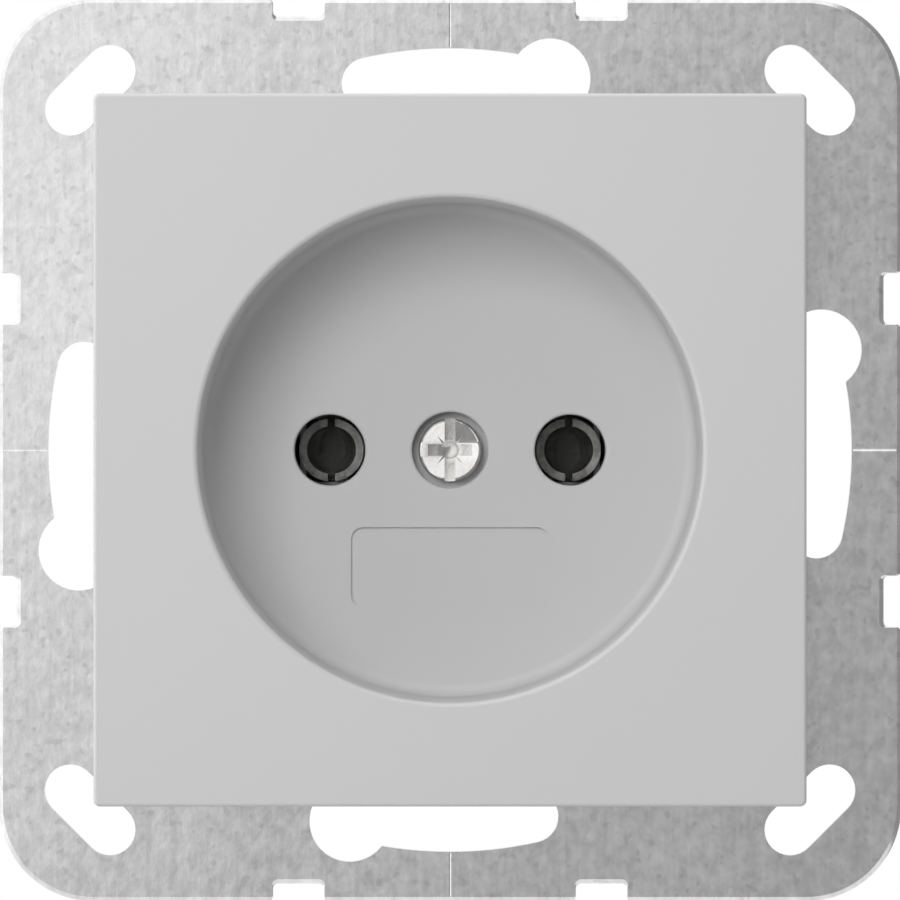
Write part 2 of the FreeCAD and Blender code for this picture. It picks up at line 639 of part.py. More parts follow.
def make_clamp_spring(x):
    """Wire clamp: a fixed leg under the roof, a bow at the back and a slanting leg on the busbar."""
    corner_y, level = spring_corner()
    drop = level - BUSBAR_TOP - SEAT_GAP - SPRING_T / 2
    path = [(corner_y - SPRING_TOP_LEG - (SPRING_BEND_R + SPRING_T), level), (corner_y, level),
            (corner_y - drop / tan(radians(SPRING_ANGLE)), level - drop)]
    spring = bent_strip(path, SPRING_T, SPRING_BEND_R, SPRING_W)
    return on_yz(spring, x).Solids[0]


def make_release():
    """Right release pusher: its nose lies behind the two slanting spring legs."""
    corner_y, level = spring_corner()
    bottom = WIRE_Z + PUSHER_LIFT
    top = bottom + PUSHER_H
    slope = tan(radians(SPRING_ANGLE))
    clear = (SPRING_T / 2 + LOOSE_GAP) / sin(radians(SPRING_ANGLE))
    nose_low = corner_y - (level - bottom) / slope + clear
    nose_high = corner_y - (level - top) / slope + clear
    pad_front = REAR_BACK + PUSHER_TRAVEL + LOOSE_GAP
    hook_back = REAR_FRONT - LOOSE_GAP
    outline = [(nose_low, bottom), (hook_back - PUSHER_HOOK_T, bottom),
               (hook_back - PUSHER_HOOK_T, bottom - PUSHER_HOOK), (hook_back, bottom - PUSHER_HOOK),
               (hook_back, bottom), (pad_front + FUSE, bottom), (pad_front + FUSE, top), (nose_high, top)]
    points = [V(0, y, z) for y, z in outline + outline[:1]]
    stem = Part.Face(Part.makePolygon(points)).extrude(V(PUSHER_W, 0, 0))
    stem.translate(V(WIRE_MIDDLE_X - PUSHER_W / 2, 0, 0))
    pad = box(WIRE_MIDDLE_X - PUSHER_PAD_W / 2, WIRE_MIDDLE_X + PUSHER_PAD_W / 2,
              pad_front, pad_front + PUSHER_PAD_T, bottom, bottom + PUSHER_PAD_H)
    pad = bevel_edges(pad, EDGE_BREAK, lambda edge: lies_at(edge, pad_front + PUSHER_PAD_T))
    return one_solid(stem.fuse(pad))


def make_rear_cover():
    """Snapped-in back of the base with the wire entries."""
    plate = rounded_plate(HALF_W, HALF_H, REAR_FRONT, REAR_BACK, BLOCK_CORNER_R)
    plate = bevel_edges(plate, EDGE_BREAK, lambda edge: lies_at(edge, REAR_BACK))
    hooks = []
    front = REAR_FRONT - HOOK_L
    for x, z in four_ways(HOOK_X, HALF_H):
        hooks.append(snap_hook(x, z > 0, front))
    plate = plate.fuse(hooks)
    cuts = []
    for side in (1, -1):
        cuts.append(side_box(side, CHANNEL_X, HALF_W + FUSE, REAR_FRONT - FUSE, REAR_BACK + FUSE,
                             -CHANNEL_HALF_H, CHANNEL_HALF_H))
        for wire_x in (WIRE_MIDDLE_X - WIRE_PITCH / 2, WIRE_MIDDLE_X + WIRE_PITCH / 2):
            x = side * wire_x
            cuts.append(rod(x, WIRE_Z, REAR_FRONT - FUSE, REAR_BACK + FUSE, WIRE_HOLE_R))
        half = PUSHER_W / 2 + PUSHER_GAP
        low = WIRE_Z + PUSHER_LIFT - PUSHER_GAP
        x = side * WIRE_MIDDLE_X
        cuts.append(box(x - half, x + half, REAR_FRONT - FUSE, REAR_BACK + FUSE, low,
                        low + PUSHER_H + 2 * PUSHER_GAP))
    return one_solid(plate.cut(cuts))


def snap_hook(x, is_top, front):
    """Springy arm outside the base, with a barb that points inwards."""
    z0 = HALF_H + SEAT_GAP
    z1 = z0 + HOOK_T
    outline = [(REAR_BACK - EDGE_BREAK, z1), (front, z1), (front, z0 - EDGE_BREAK),
               (front + HOOK_BARB_L - EDGE_BREAK, HALF_H - HOOK_BARB),
               (front + HOOK_BARB_L, HALF_H - HOOK_BARB), (front + HOOK_BARB_L, z0), (REAR_FRONT, z0),
               (REAR_FRONT, HALF_H - BLOCK_WALL_T), (REAR_BACK - EDGE_BREAK, HALF_H - BLOCK_WALL_T)]
    way = 1 if is_top else -1
    points = [V(x - HOOK_W / 2, y, way * z) for y, z in outline + outline[:1]]
    return Part.Face(Part.makePolygon(points)).extrude(V(HOOK_W, 0, 0))


def claw_pivot():
    """Centre of the claw's bend, about which it swings, as (x, y)."""
    middle_r = CLAW_BEND_R + CLAW_T / 2
    x = CHANNEL_X + LOOSE_GAP + CLAW_T / 2 + middle_r
    y = DECK_BACK + CLAW_FOOT_GAP + CLAW_T / 2 + middle_r
    return x, y


def claw_teeth():
    """Cutters that leave teeth on the two prongs of a claw."""
    span = CLAW_W / 2 - CLAW_FORK_W / 2
    pitch = span / CLAW_TEETH
    cutters = []
    for side in (1, -1):
        for i in range(CLAW_TEETH):
            z0 = CLAW_FORK_W / 2 + i * pitch
            points = [V(0, CLAW_TIP_Y + FUSE, side * z0), V(0, CLAW_TIP_Y + FUSE, side * (z0 + pitch)),
                      V(0, CLAW_TIP_Y - CLAW_TOOTH_DEPTH, side * (z0 + pitch / 2)),
                      V(0, CLAW_TIP_Y + FUSE, side * z0)]
            cutters.append(Part.Face(Part.makePolygon(points)).extrude(V(HALF_W + CLAW_FOOT_END, 0, 0)))
    return cutters


def make_claw():
    """Right claw: a foot that the screw pulls and two toothed prongs that bite into the wall box."""
    pivot_x, pivot_y = claw_pivot()
    plate_x = CHANNEL_X + LOOSE_GAP + CLAW_T / 2
    foot_y = DECK_BACK + CLAW_FOOT_GAP + CLAW_T / 2
    path = [(CLAW_FOOT_END, foot_y), (plate_x, foot_y), (plate_x, foot_y + CLAW_STRAIGHT),
            (CLAW_TIP_X, CLAW_TIP_Y)]
    claw = bent_strip(path, CLAW_T, CLAW_BEND_R, CLAW_W)
    swing = radians(CLAW_SWING)
    arm = CLAW_SCREW_X - pivot_x
    drift = arm / cos(swing) + (pivot_y - foot_y) * tan(swing) - arm
    spread = CLAW_SCREW_R / cos(swing) + CLAW_T / 2 * tan(swing) - CLAW_SCREW_R
    hole_r = CLAW_SCREW_R + CLAW_HOLE_GAP
    slot_end = CLAW_SCREW_X + drift + spread
    way = box(CLAW_SCREW_X, slot_end, foot_y - CLAW_T, foot_y + CLAW_T, -hole_r, hole_r)
    way = way.fuse([rod(CLAW_SCREW_X, 0, foot_y - CLAW_T, foot_y + CLAW_T, hole_r),
                    rod(slot_end, 0, foot_y - CLAW_T, foot_y + CLAW_T, hole_r)])
    fork = box(plate_x - CLAW_T, CLAW_TIP_X + CLAW_SCREW_X, foot_y + CLAW_STRAIGHT, CLAW_TIP_Y + CLAW_T,
               -CLAW_FORK_W / 2, CLAW_FORK_W / 2)
    return one_solid(claw.cut([way, fork] + claw_teeth()))


def make_claw_screw():
    """Right claw screw, with its head on the front of the frame."""
    return make_screw(CLAW_SCREW_X, FRAME_FRONT - CLAW_SCREW_HEAD_H, CLAW_SCREW_HEAD_R, CLAW_SCREW_HEAD_H,
                      CLAW_SCREW_R, CLAW_SCREW_L)


def all_pieces():
    """Every node's name with its solid."""
    inner = WIRE_MIDDLE_X - WIRE_PITCH / 2
    outer = WIRE_MIDDLE_X + WIRE_PITCH / 2
    pieces = {
        "mounting_frame": make_mounting_frame(),
        "cover_plate": make_cover_plate(),
        "cover_screw": make_cover_screw(),
        "cover_insert": make_cover_insert(),
        "frame_rivets": make_frame_rivets(),
        "socket_base": make_socket_base(),
        "rear_cover": make_rear_cover(),
    }
    on_the_right = {
        "contact": make_contact(),
        "contact_clip": make_contact_clip(),
        "clamp_spring_inner": make_clamp_spring(inner),
        "clamp_spring_outer": make_clamp_spring(outer),
        "release": make_release(),
        "claw": make_claw(),
        "claw_screw": make_claw_screw(),
    }
    for name, shape in on_the_right.items():
        pieces[name + "_right"] = shape
        pieces[name + "_left"] = mirrored(shape)
    return pieces


os.makedirs("parts", exist_ok=True)
for node, shape in all_pieces().items():
    shape.exportStep("parts/" + node + ".step")
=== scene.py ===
import json
import logging
import math
from dataclasses import dataclass, field
from enum import Enum
from typing import Callable, Iterable, Optional, Union

import bmesh
import bpy
from mathutils import Matrix, Vector


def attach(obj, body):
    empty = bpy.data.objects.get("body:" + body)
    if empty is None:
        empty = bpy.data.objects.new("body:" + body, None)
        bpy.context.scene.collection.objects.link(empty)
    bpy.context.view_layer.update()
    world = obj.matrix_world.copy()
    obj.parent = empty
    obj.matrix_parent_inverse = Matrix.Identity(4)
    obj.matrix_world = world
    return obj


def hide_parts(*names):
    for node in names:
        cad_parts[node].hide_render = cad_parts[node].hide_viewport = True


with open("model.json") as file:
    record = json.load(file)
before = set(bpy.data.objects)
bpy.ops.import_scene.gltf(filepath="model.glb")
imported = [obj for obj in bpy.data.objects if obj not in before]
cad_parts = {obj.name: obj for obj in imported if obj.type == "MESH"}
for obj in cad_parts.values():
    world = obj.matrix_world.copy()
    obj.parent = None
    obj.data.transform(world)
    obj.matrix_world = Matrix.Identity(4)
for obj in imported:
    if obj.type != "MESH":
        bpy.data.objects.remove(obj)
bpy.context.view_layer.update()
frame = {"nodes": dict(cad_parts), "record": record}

LOG = logging.getLogger("wall_socket")
MM = 0.001
WHITE = (1.0, 1.0, 1.0, 1.0)
SIDES = (0, 90, 180, 270)
CORNERS = (45, 135, 225, 315)
NEAR = 1e-4  # millimetres within which two points count as one
LOOSE = 1e-3  # the same for points on a circle
WELD = 2e-4  # the same where a finished mesh is joined up
Point = tuple[float, float]
Triple = tuple[float, float, float]
Colour = Triple
Material = bpy.types.Material
Socket = bpy.types.NodeSocket
Vert = bmesh.types.BMVert
Face = bmesh.types.BMFace
Edges = list[bmesh.types.BMEdge]


class Slot(Enum):
    """The record's material slots."""

    COVER = "cover_plastic"
    SCREW = "screw_nickel"
    INSERT = "insert_brass"
    FRAME = "frame_zinc"
    STEEL = "steel_zinc"
    BASE = "base_plastic"
    CONTACT = "contact_nickel"
    SPRING = "spring_steel"
    RELEASE = "release_plastic"


def srgb(level: float) -> float:
    """Linear value of a display level from 0 to 255.

    Args:
        level: the level as it is seen on the screen.

    Returns:
        The same brightness in linear light, from 0 to 1.
    """
    share = level / 255.0
    return share / 12.92 if share <= 0.04045 else ((share + 0.055) / 1.055) ** 2.4


def placed(name: str, data: bpy.types.ID) -> bpy.types.Object:
    """Put a mesh, a lamp or a camera into the scene.

    Args:
        name: the new object's name.
        data: what it holds.

    Returns:
        The object, at the origin.
    """
    made = bpy.data.objects.new(name, data)
    bpy.context.scene.collection.objects.link(made)
    return made


def placed_mesh(name: str, mesh: bmesh.types.BMesh, finish: Material) -> bpy.types.Object:
    """Put a modelled mesh into the scene.

    Args:
        name: the new object's name.
        mesh: the mesh, which is used up.
        finish: its material.

    Returns:
        The object, at the origin.
    """
    data = bpy.data.meshes.new(name)
    mesh.to_mesh(data)
    mesh.free()
    data.materials.append(finish)
    return placed(name, data)


def corners(edges: Iterable[bmesh.types.BMEdge]) -> set[Vert]:
    """All the points of some edges."""
    return {vert for edge in edges for vert in edge.verts}


# ---- shader graph


@dataclass(frozen=True)
class Signal:
    """One value that varies over a surface. Python's operators add the Math nodes."""

    graph: "Graph"
    socket: Socket

    def math(self, operation: str, first: "Operand", second: "Operand" = 0.0) -> "Signal":
        """Put two operands through one Math node.

        Args:
            operation: the Math node's operation.
            first: its first value.
            second: its second value.

        Returns:
            The node's result.
        """
        made = self.graph.node("ShaderNodeMath", {"operation": operation}, {0: first, 1: second})
        return Signal(self.graph, made.outputs[0])

    def __add__(self, other: "Operand") -> "Signal":
        """Sum."""
        return self.math("ADD", self, other)

    def __radd__(self, other: "Operand") -> "Signal":
        """Sum, with the number on the left."""
        return self.math("ADD", other, self)

    def __sub__(self, other: "Operand") -> "Signal":
        """Difference."""
        return self.math("SUBTRACT", self, other)

    def __rsub__(self, other: "Operand") -> "Signal":
        """Difference, with the number on the left."""
        return self.math("SUBTRACT", other, self)

    def __mul__(self, other: "Operand") -> "Signal":
        """Product."""
        return self.math("MULTIPLY", self, other)

    def __rmul__(self, other: "Operand") -> "Signal":
        """Product, with the number on the left."""
        return self.math("MULTIPLY", other, self)

    def clamp(self) -> "Signal":
        """The value held between 0 and 1."""
        return self.math("MINIMUM", self.math("MAXIMUM", self, 0.0), 1.0)

    def between(self, low: float, high: float) -> "Signal":
        """Smooth step from 0 at low to 1 at high.

        Args:
            low: where the step starts.
            high: where it ends.

        Returns:
            The step, from 0 to 1.
        """
        made = self.graph.node("ShaderNodeMapRange", {"interpolation_type": "SMOOTHSTEP"},
                               {"Value": self, "From Min": low, "From Max": high})
        return Signal(self.graph, made.outputs["Result"])


Operand = Union[float, Signal]
Tint = Union[Colour, Socket]


class Graph:
    """The nodes of one material or of the world."""

    def __init__(self, owner: Union[Material, bpy.types.World]) -> None:
        """Start with nothing but the output.

        Args:
            owner: the material or the world.
        """
        self.owner = owner
        owner.use_nodes = True
        self.tree = owner.node_tree
        self.tree.nodes.clear()
        of_world = isinstance(owner, bpy.types.World)
        self.output = self.node("ShaderNodeOutputWorld" if of_world else "ShaderNodeOutputMaterial")

    def node(self, kind: str, settings: Optional[dict] = None, inputs: Optional[dict] = None) -> bpy.types.Node:
        """Add one node.

        Args:
            kind: the node's type.
            settings: its own settings by name.
            inputs: values or signals for its sockets, by name or by index.

        Returns:
            The node.
        """
        made = self.tree.nodes.new(kind)
        for name, value in (settings or {}).items():
            setattr(made, name, value)
        for name, value in (inputs or {}).items():
            if isinstance(value, Signal):
                self.tree.links.new(value.socket, made.inputs[name])
            elif isinstance(value, Socket):
                self.tree.links.new(value, made.inputs[name])
            else:
                made.inputs[name].default_value = value
        return made

    def place(self, scale: Triple = (1.0, 1.0, 1.0)) -> Socket:
        """Object coordinates in millimetres, stretched by a scale on each axis.

        Args:
            scale: how many pattern units each axis has to a millimetre.

        Returns:
            The vector's socket.
        """
        coordinates = self.node("ShaderNodeTexCoord")
        stretched = self.node("ShaderNodeMapping", {"vector_type": "POINT"},
                              {"Vector": coordinates.outputs["Object"],
                               "Scale": tuple(axis / MM for axis in scale)})
        return stretched.outputs["Vector"]

    def axis(self, name: str) -> Signal:
        """One Object coordinate, in millimetres.

        Args:
            name: X, Y or Z.

        Returns:
            The coordinate.
        """
        parts = self.node("ShaderNodeSeparateXYZ", {}, {"Vector": self.place()})
        return Signal(self, parts.outputs[name])

    def noise(self, scale: Triple, detail: float = 3.0, rough: float = 0.55,
              distortion: float = 0.0) -> Signal:
        """Cloudy noise from 0 to 1.

        Args:
            scale: cells to a millimetre on each axis.
            detail: how many finer layers it has.
            rough: how strong the finer layers are.
            distortion: how much the cells are bent.

        Returns:
            The noise.
        """
        made = self.node("ShaderNodeTexNoise", {"noise_dimensions": "3D"},
                         {"Vector": self.place(scale), "Scale": 1.0, "Detail": detail, "Roughness": rough,
                          "Distortion": distortion})
        return Signal(self, made.outputs["Fac"])

    def blend(self, share: Operand, first: Tint, second: Tint) -> Socket:
        """Mix two colours.

        Args:
            share: how much of the second colour there is.
            first: the colour at 0.
            second: the colour at 1.

        Returns:
            The mixed colour's socket.
        """
        ends = [tint if isinstance(tint, Socket) else (*tint, 1.0) for tint in (first, second)]
        made = self.node("ShaderNodeMix", {"data_type": "RGBA"}, {0: share, 6: ends[0], 7: ends[1]})
        return made.outputs[2]

    def bump(self, height: Signal, depth: float) -> Socket:
        """Normal of a surface with a relief.

        Args:
            height: the relief, from 0 to 1.
            depth: how deep it is, in millimetres.

        Returns:
            The normal's socket.
        """
        made = self.node("ShaderNodeBump", {}, {"Strength": 1.0, "Distance": depth * MM, "Height": height})
        return made.outputs["Normal"]

    def surface(self, inputs: dict) -> None:
        """Add the Principled shader and join it to the output.

        Args:
            inputs: values or signals for its sockets.
        """
        shader = self.node("ShaderNodeBsdfPrincipled", {}, inputs)
        self.tree.links.new(shader.outputs["BSDF"], self.output.inputs["Surface"])

    def either(self, share: Signal, first: bpy.types.Node, second: bpy.types.Node) -> None:
        """Join a mix of two shaders to the output.

        Args:
            share: how much of the second shader there is.
            first: the shader at 0.
            second: the shader at 1.
        """
        both = self.node("ShaderNodeMixShader", {}, {0: share, 1: first.outputs[0], 2: second.outputs[0]})
        self.tree.links.new(both.outputs[0], self.output.inputs["Surface"])

    def toward(self, way: Triple) -> Signal:
        """How far the world's direction lies along one way.

        Args:
            way: the way, of length 1.

        Returns:
            From -1 to 1.
        """
        direction = self.node("ShaderNodeTexCoord").outputs["Generated"]
        along = self.node("ShaderNodeVectorMath", {"operation": "DOT_PRODUCT"}, {0: direction, 1: way})
        return Signal(self, along.outputs["Value"])

    def rays(self, *kinds: str) -> Signal:
        """Whether the ray is of one of these kinds.

        Args:
            kinds: Camera, Glossy or Transmission.

        Returns:
            1 where it is, and 0 where it isn't.
        """
        path = self.node("ShaderNodeLightPath")
        total: Operand = 0.0
        for kind in kinds:
            total = total + Signal(self, path.outputs[f"Is {kind} Ray"])
        return total.clamp()


# ---- finishes


@dataclass(frozen=True)
class MattPlastic:
    """Moulded plastic with a fine even grain."""

    name: str
    colour: Colour
    roughness: float
    grain: float = 6.0
    grain_depth: float = 0.004
    unevenness: float = 0.02
    cloud: float = 0.05
    swing: float = 0.08
    ior: float = 1.5

    def material(self) -> Material:
        """Make the finish.

        Returns:
            The material.
        """
        graph = Graph(bpy.data.materials.new(self.name))
        cloud = graph.noise((self.cloud,) * 3, 2.0)
        speck = graph.noise((self.grain * 0.6,) * 3, 2.0)
        light = tuple(part * (1.0 + self.unevenness) for part in self.colour)
        dark = tuple(part * (1.0 - self.unevenness) for part in self.colour)
        grain = graph.noise((self.grain,) * 3, 2.0, 0.6)
        graph.surface({
            "Base Color": graph.blend((cloud * 0.6 + speck * 0.4).clamp(), dark, light),
            "Roughness": (self.roughness - self.swing / 2 + grain * self.swing).clamp(),
            "IOR": self.ior,
            "Normal": graph.bump(grain, self.grain_depth),
        })
        return graph.owner


@dataclass(frozen=True)
class SpangledZinc:
    """Zinc-coated sheet with a fine soft mottle, rolled with faint lines along Z."""

    name: str
    light: Colour
    dark: Colour
    roughness: float
    blotch: float = 0.95
    relief: float = 0.009
    cloud: Triple = (0.09, 0.09, 0.06)
    line: Triple = (2.6, 2.6, 0.11)
    speck: float = 1.5
    speck_step: Point = (0.70, 0.80)
    tone_step: Point = (0.30, 0.94)

    def material(self) -> Material:
        """Make the finish.

        Returns:
            The material.
        """
        graph = Graph(bpy.data.materials.new(self.name))
        blotches = graph.noise((self.blotch, self.blotch, self.blotch * 0.8), 3.0, 0.55, 0.3)
        grains = graph.noise((self.blotch * 2.6, self.blotch * 2.6, self.blotch * 1.9), 2.0, 0.5)
        cloud = graph.noise(self.cloud, 2.0)
        lines = graph.noise(self.line, 2.0, 0.5)
        specks = graph.noise((self.speck,) * 3, 0.0).between(*self.speck_step)
        tone = blotches * 0.60 + grains * 0.22 + lines * 0.14 + cloud * 0.28 - specks * 0.16
        relief = blotches * 0.6 + grains * 0.25 + lines * 0.15
        graph.surface({
            "Base Color": graph.blend(tone.between(*self.tone_step), self.dark, self.light),
            "Metallic": 1.0,
            "Roughness": (self.roughness - 0.05 + blotches * 0.07 + lines * 0.03).clamp(),
            "Normal": graph.bump(relief, self.relief),
        })
        return graph.owner


@dataclass(frozen=True)
class PlatedMetal:
    """Bright plated or bare metal with fine marks."""

    name: str
    light: Colour
    dark: Colour
    roughness: float
    marks: Triple = (3.0, 3.0, 3.0)
    relief: float = 0.004
    # hollow: where along Y the colour turns to inside. inside: painted light in the contacts, painted shade in the
    # screw's recess.
    hollow: Optional[Point] = None
    inside: Colour = (0.5, 0.5, 0.5)
    metallic: float = 1.0
    patch: float = 0.5
    tone_step: Point = (0.25, 0.75)

    def material(self) -> Material:
        """Make the finish, with a second, rougher colour deep in its hollow: painted light where it is lighter,
        painted shade where it is darker.

        Returns:
            The material.
        """
        graph = Graph(bpy.data.materials.new(self.name))
        marks = graph.noise(self.marks, 4.0, 0.6)
        patches = graph.noise((self.patch,) * 3, 3.0)
        colour = graph.blend((patches * 0.6 + marks * 0.4).between(*self.tone_step), self.dark, self.light)
        rough = self.roughness - 0.06 + patches * 0.08 + marks * 0.04
        height = marks
        if self.hollow is not None:
            # Deep in the hollow the colour turns to inside: painted light where it is lighter, painted shade where it
            # is darker. Roughness and relief grow there too.
            deep = graph.axis("Y").between(*self.hollow)
            colour = graph.blend(deep * (1.0 - marks * 0.4), colour, self.inside)
            rough = rough + deep * 0.12
            height = marks * (1.0 + deep * 5.0)
        graph.surface({"Base Color": colour, "Metallic": self.metallic, "Roughness": rough.clamp(),
                       "Normal": graph.bump(height, self.relief)})
        return graph.owner


COVER_GREY = MattPlastic("cover_grey", (srgb(206), srgb(206), srgb(206)), 0.44, unevenness=0.008)
BASE_BLACK = MattPlastic("base_black", (0.018, 0.018, 0.019), 0.45, 3.0, 0.008, 0.12)
RELEASE_WHITE = MattPlastic("release_white", (0.62, 0.62, 0.60), 0.42, 4.0, 0.006, 0.03)
FRAME_ZINC = SpangledZinc("frame_zinc", (0.86, 0.867, 0.861), (0.59, 0.597, 0.591), 0.17)
STEEL_ZINC = PlatedMetal("steel_zinc", (0.66, 0.67, 0.68), (0.44, 0.45, 0.46), 0.34, (2.5, 2.5, 2.5), 0.006)
# The screw turns darker deep in its slot and cross: painted shade.
SCREW_NICKEL = PlatedMetal("screw_nickel", (0.80, 0.79, 0.775), (0.64, 0.63, 0.615), 0.16, (4.0, 4.0, 4.0), 0.003,
                           (4.7, 4.95), (0.60, 0.59, 0.575))
INSERT_BRASS = PlatedMetal("insert_brass", (0.78, 0.60, 0.30), (0.58, 0.42, 0.20), 0.3, (1.0, 9.0, 1.0), 0.006)
# The contacts turn much lighter deep inside, where little light reaches: painted light.
CONTACT_NICKEL = PlatedMetal("contact_nickel", (0.72, 0.71, 0.69), (0.16, 0.158, 0.152), 0.46, (2.6, 1.8, 2.6), 0.035,
                             (13.0, 17.5), (0.88, 0.875, 0.86), 0.72)
SPRING_STEEL = PlatedMetal("spring_steel", (0.52, 0.53, 0.55), (0.36, 0.37, 0.39), 0.3, (5.0, 0.8, 0.8), 0.006)


# ---- modelling


class Workpiece:
    """A mesh that is modelled in millimetres with bmesh operators, front towards -Y."""

    def __init__(self, name: str) -> None:
        """Start with nothing.

        Args:
            name: the finished piece's name.
        """
        self.name = name
        self.mesh = bmesh.new()

    def circle(self, x: float, z: float, y: float, radius: float, steps: int) -> Edges:
        """Draw a full circle.

        Args:
            x: its middle.
            z: its middle.
            y: its plane.
            radius: its radius.
            steps: how many edges it has.

        Returns:
            Its edges.
        """
        place = Matrix.Translation((x, y, z)) @ Matrix.Rotation(math.pi / 2, 4, "X")
        made = bmesh.ops.create_circle(self.mesh, cap_ends=False, radius=radius, segments=steps, matrix=place)
        return list({edge for vert in made["verts"] for edge in vert.link_edges})

    def turned(self, x: float, z: float, profile: Iterable[Point], steps: int) -> tuple[Edges, Edges]:
        """Turn a profile about an axis along Y.

        Args:
            x: the axis.
            z: the axis.
            profile: points as (radius, y), from the first rim to the last.
            steps: how many faces go round.

        Returns:
            The edges of the first and of the last rim.
        """
        points = list(profile)
        verts = [self.mesh.verts.new((x + radius, y, z)) for radius, y in points]
        edges = [self.mesh.edges.new(pair) for pair in zip(verts, verts[1:])]
        bmesh.ops.spin(self.mesh, geom=verts + edges, cent=(x, 0, z), axis=(0, -1, 0), angle=2 * math.pi,
                       steps=steps, use_merge=True)
        return self.rim(x, z, *points[0]), self.rim(x, z, *points[-1])

    def rim(self, x: float, z: float, radius: float, y: float) -> Edges:
        """Find the edges on a circle.

        Args:
            x: its middle.
            z: its middle.
            radius: its radius.
            y: its plane.

        Returns:
            The edges whose two ends lie on it.
        """
        def on(vert: Vert) -> bool:
            """Whether a vertex lies on the circle."""
            across = math.hypot(vert.co.x - x, vert.co.z - z)
            return abs(vert.co.y - y) < NEAR and abs(across - radius) < LOOSE

        return [edge for edge in self.mesh.edges if on(edge.verts[0]) and on(edge.verts[1])]

    def lying(self, y: float) -> list[Face]:
        """Faces that lie in the plane across Y at y."""
        return [face for face in self.mesh.faces if all(abs(vert.co.y - y) < NEAR for vert in face.verts)]

    def face(self, edges: Edges) -> Face:
        """Close one outline with a single face.

        Args:
            edges: the outline.

        Returns:
            The face, which looks to the front.
        """
        face = bmesh.ops.contextual_create(self.mesh, geom=edges)["faces"][0]
        face.normal_update()
        if face.normal.y > 0:
            bmesh.ops.reverse_faces(self.mesh, faces=[face])
        return face

    def fill(self, *outlines: Edges) -> None:
        """Fill a flat area, with the outlines inside the first one left open.

        Args:
            outlines: the edges of each outline.
        """
        edges = [edge for outline in outlines for edge in outline]
        bmesh.ops.triangle_fill(self.mesh, edges=edges, use_beauty=True, normal=(0, -1, 0))

    def wall(self, edges: Edges, y: float) -> Edges:
        """Pull an outline along Y.

        Args:
            edges: the outline.
            y: where its copy ends.

        Returns:
            The copy's edges.
        """
        made = bmesh.ops.extrude_edge_only(self.mesh, edges=edges)["geom"]
        verts = [item for item in made if isinstance(item, Vert)]
        for vert in verts:
            vert.co.y = y
        ends = set(verts)
        return [item for item in made
                if isinstance(item, bmesh.types.BMEdge) and item.verts[0] in ends and item.verts[1] in ends]

    def raise_face(self, face: Face, y: float) -> Face:
        """Extrude a face along Y.

        Args:
            face: the face, which moves.
            y: where it ends.

        Returns:
            The moved face.
        """
        made = bmesh.ops.extrude_face_region(self.mesh, geom=[face])["geom"]
        moved = next(item for item in made if isinstance(item, Face))
        for vert in moved.verts:
            vert.co.y = y
        moved.normal_update()
        return moved

    def rolled(self, face: Face, radius: float, steps: int,
               share: Callable[[Vector, Vector], float] = lambda place, step: 1.0) -> Face:
        """Round the rim of a front face, as a moulded or punched edge is.

        Args:
            face: the face, which looks to the front.
            radius: the rounding's radius.
            steps: how many flats it has.
            share: how much of its step inwards a point of the rim takes, from its place and the step.

        Returns:
            The flat that is left.
        """
        angles = [math.pi / 2 * step / steps for step in range(steps + 1)]
        for before, after in zip(angles, angles[1:]):
            inward = radius * (math.cos(before) - math.cos(after))
            forward = radius * (math.sin(after) - math.sin(before))
            bmesh.ops.inset_region(self.mesh, faces=[face], use_boundary=True, use_even_offset=True,
                                   thickness=inward, depth=0.0)
            inner = set(face.verts)
            for vert in inner:
                ends = (edge.other_vert(vert) for edge in vert.link_edges)
                root = next(end for end in ends if end not in inner).co
                step = vert.co - root
                vert.co = root + step * share(root, step)
                vert.co.y -= forward
        return face

    def opened(self, face: Face) -> Edges:
        """Take a face away and keep its rim.

        Args:
            face: the face.

        Returns:
            Its edges.
        """
        edges = list(face.edges)
        bmesh.ops.delete(self.mesh, geom=[face], context="FACES_ONLY")
        return edges

    def block(self, size: Triple, middle: Triple, angle: float,
              bevel: float) -> None:
        """Add a block with bevelled edges, turned about Y.

        Args:
            size: its length on each axis.
            middle: its middle before the turn.
            angle: the turn from +X towards +Z, in degrees.
            bevel: the bevel's width.
        """
        place = (Matrix.Rotation(math.radians(-angle), 4, "Y") @ Matrix.Translation(middle)
                 @ Matrix.Diagonal((*size, 1.0)))
        made = bmesh.ops.create_cube(self.mesh, size=1.0, matrix=place)
        edges = list({edge for vert in made["verts"] for edge in vert.link_edges})
        bmesh.ops.bevel(self.mesh, geom=edges, offset=bevel, offset_type="OFFSET", affect="EDGES", segments=2,
                        profile=0.5, material=-1, clamp_overlap=True)

    def finished(self, finish: Material, sharp: float = 35.0) -> bpy.types.Object:
        """Close the mesh and make the piece, in metres.

        Args:
            finish: its material.
            sharp: edges over this angle in degrees stay crisp.

        Returns:
            The piece.
        """
        bmesh.ops.remove_doubles(self.mesh, verts=self.mesh.verts, dist=WELD)
        bmesh.ops.recalc_face_normals(self.mesh, faces=self.mesh.faces)
        bmesh.ops.scale(self.mesh, vec=(MM, MM, MM), verts=self.mesh.verts)
        for face in self.mesh.faces:
            face.smooth = True
        limit = math.radians(sharp)
        for edge in self.mesh.edges:
            edge.smooth = len(edge.link_faces) == 2 and edge.calc_face_angle(0.0) < limit
        open_edges = sum(1 for edge in self.mesh.edges if len(edge.link_faces) != 2)
        piece = placed_mesh(self.name, self.mesh, finish)
        flats = piece.modifiers.new("flats", "WEIGHTED_NORMAL")
        flats.mode = "FACE_AREA"
        flats.keep_sharp = True
        LOG.info("%s: %d faces, %d open edges", self.name, len(piece.data.polygons), open_edges)
        return piece


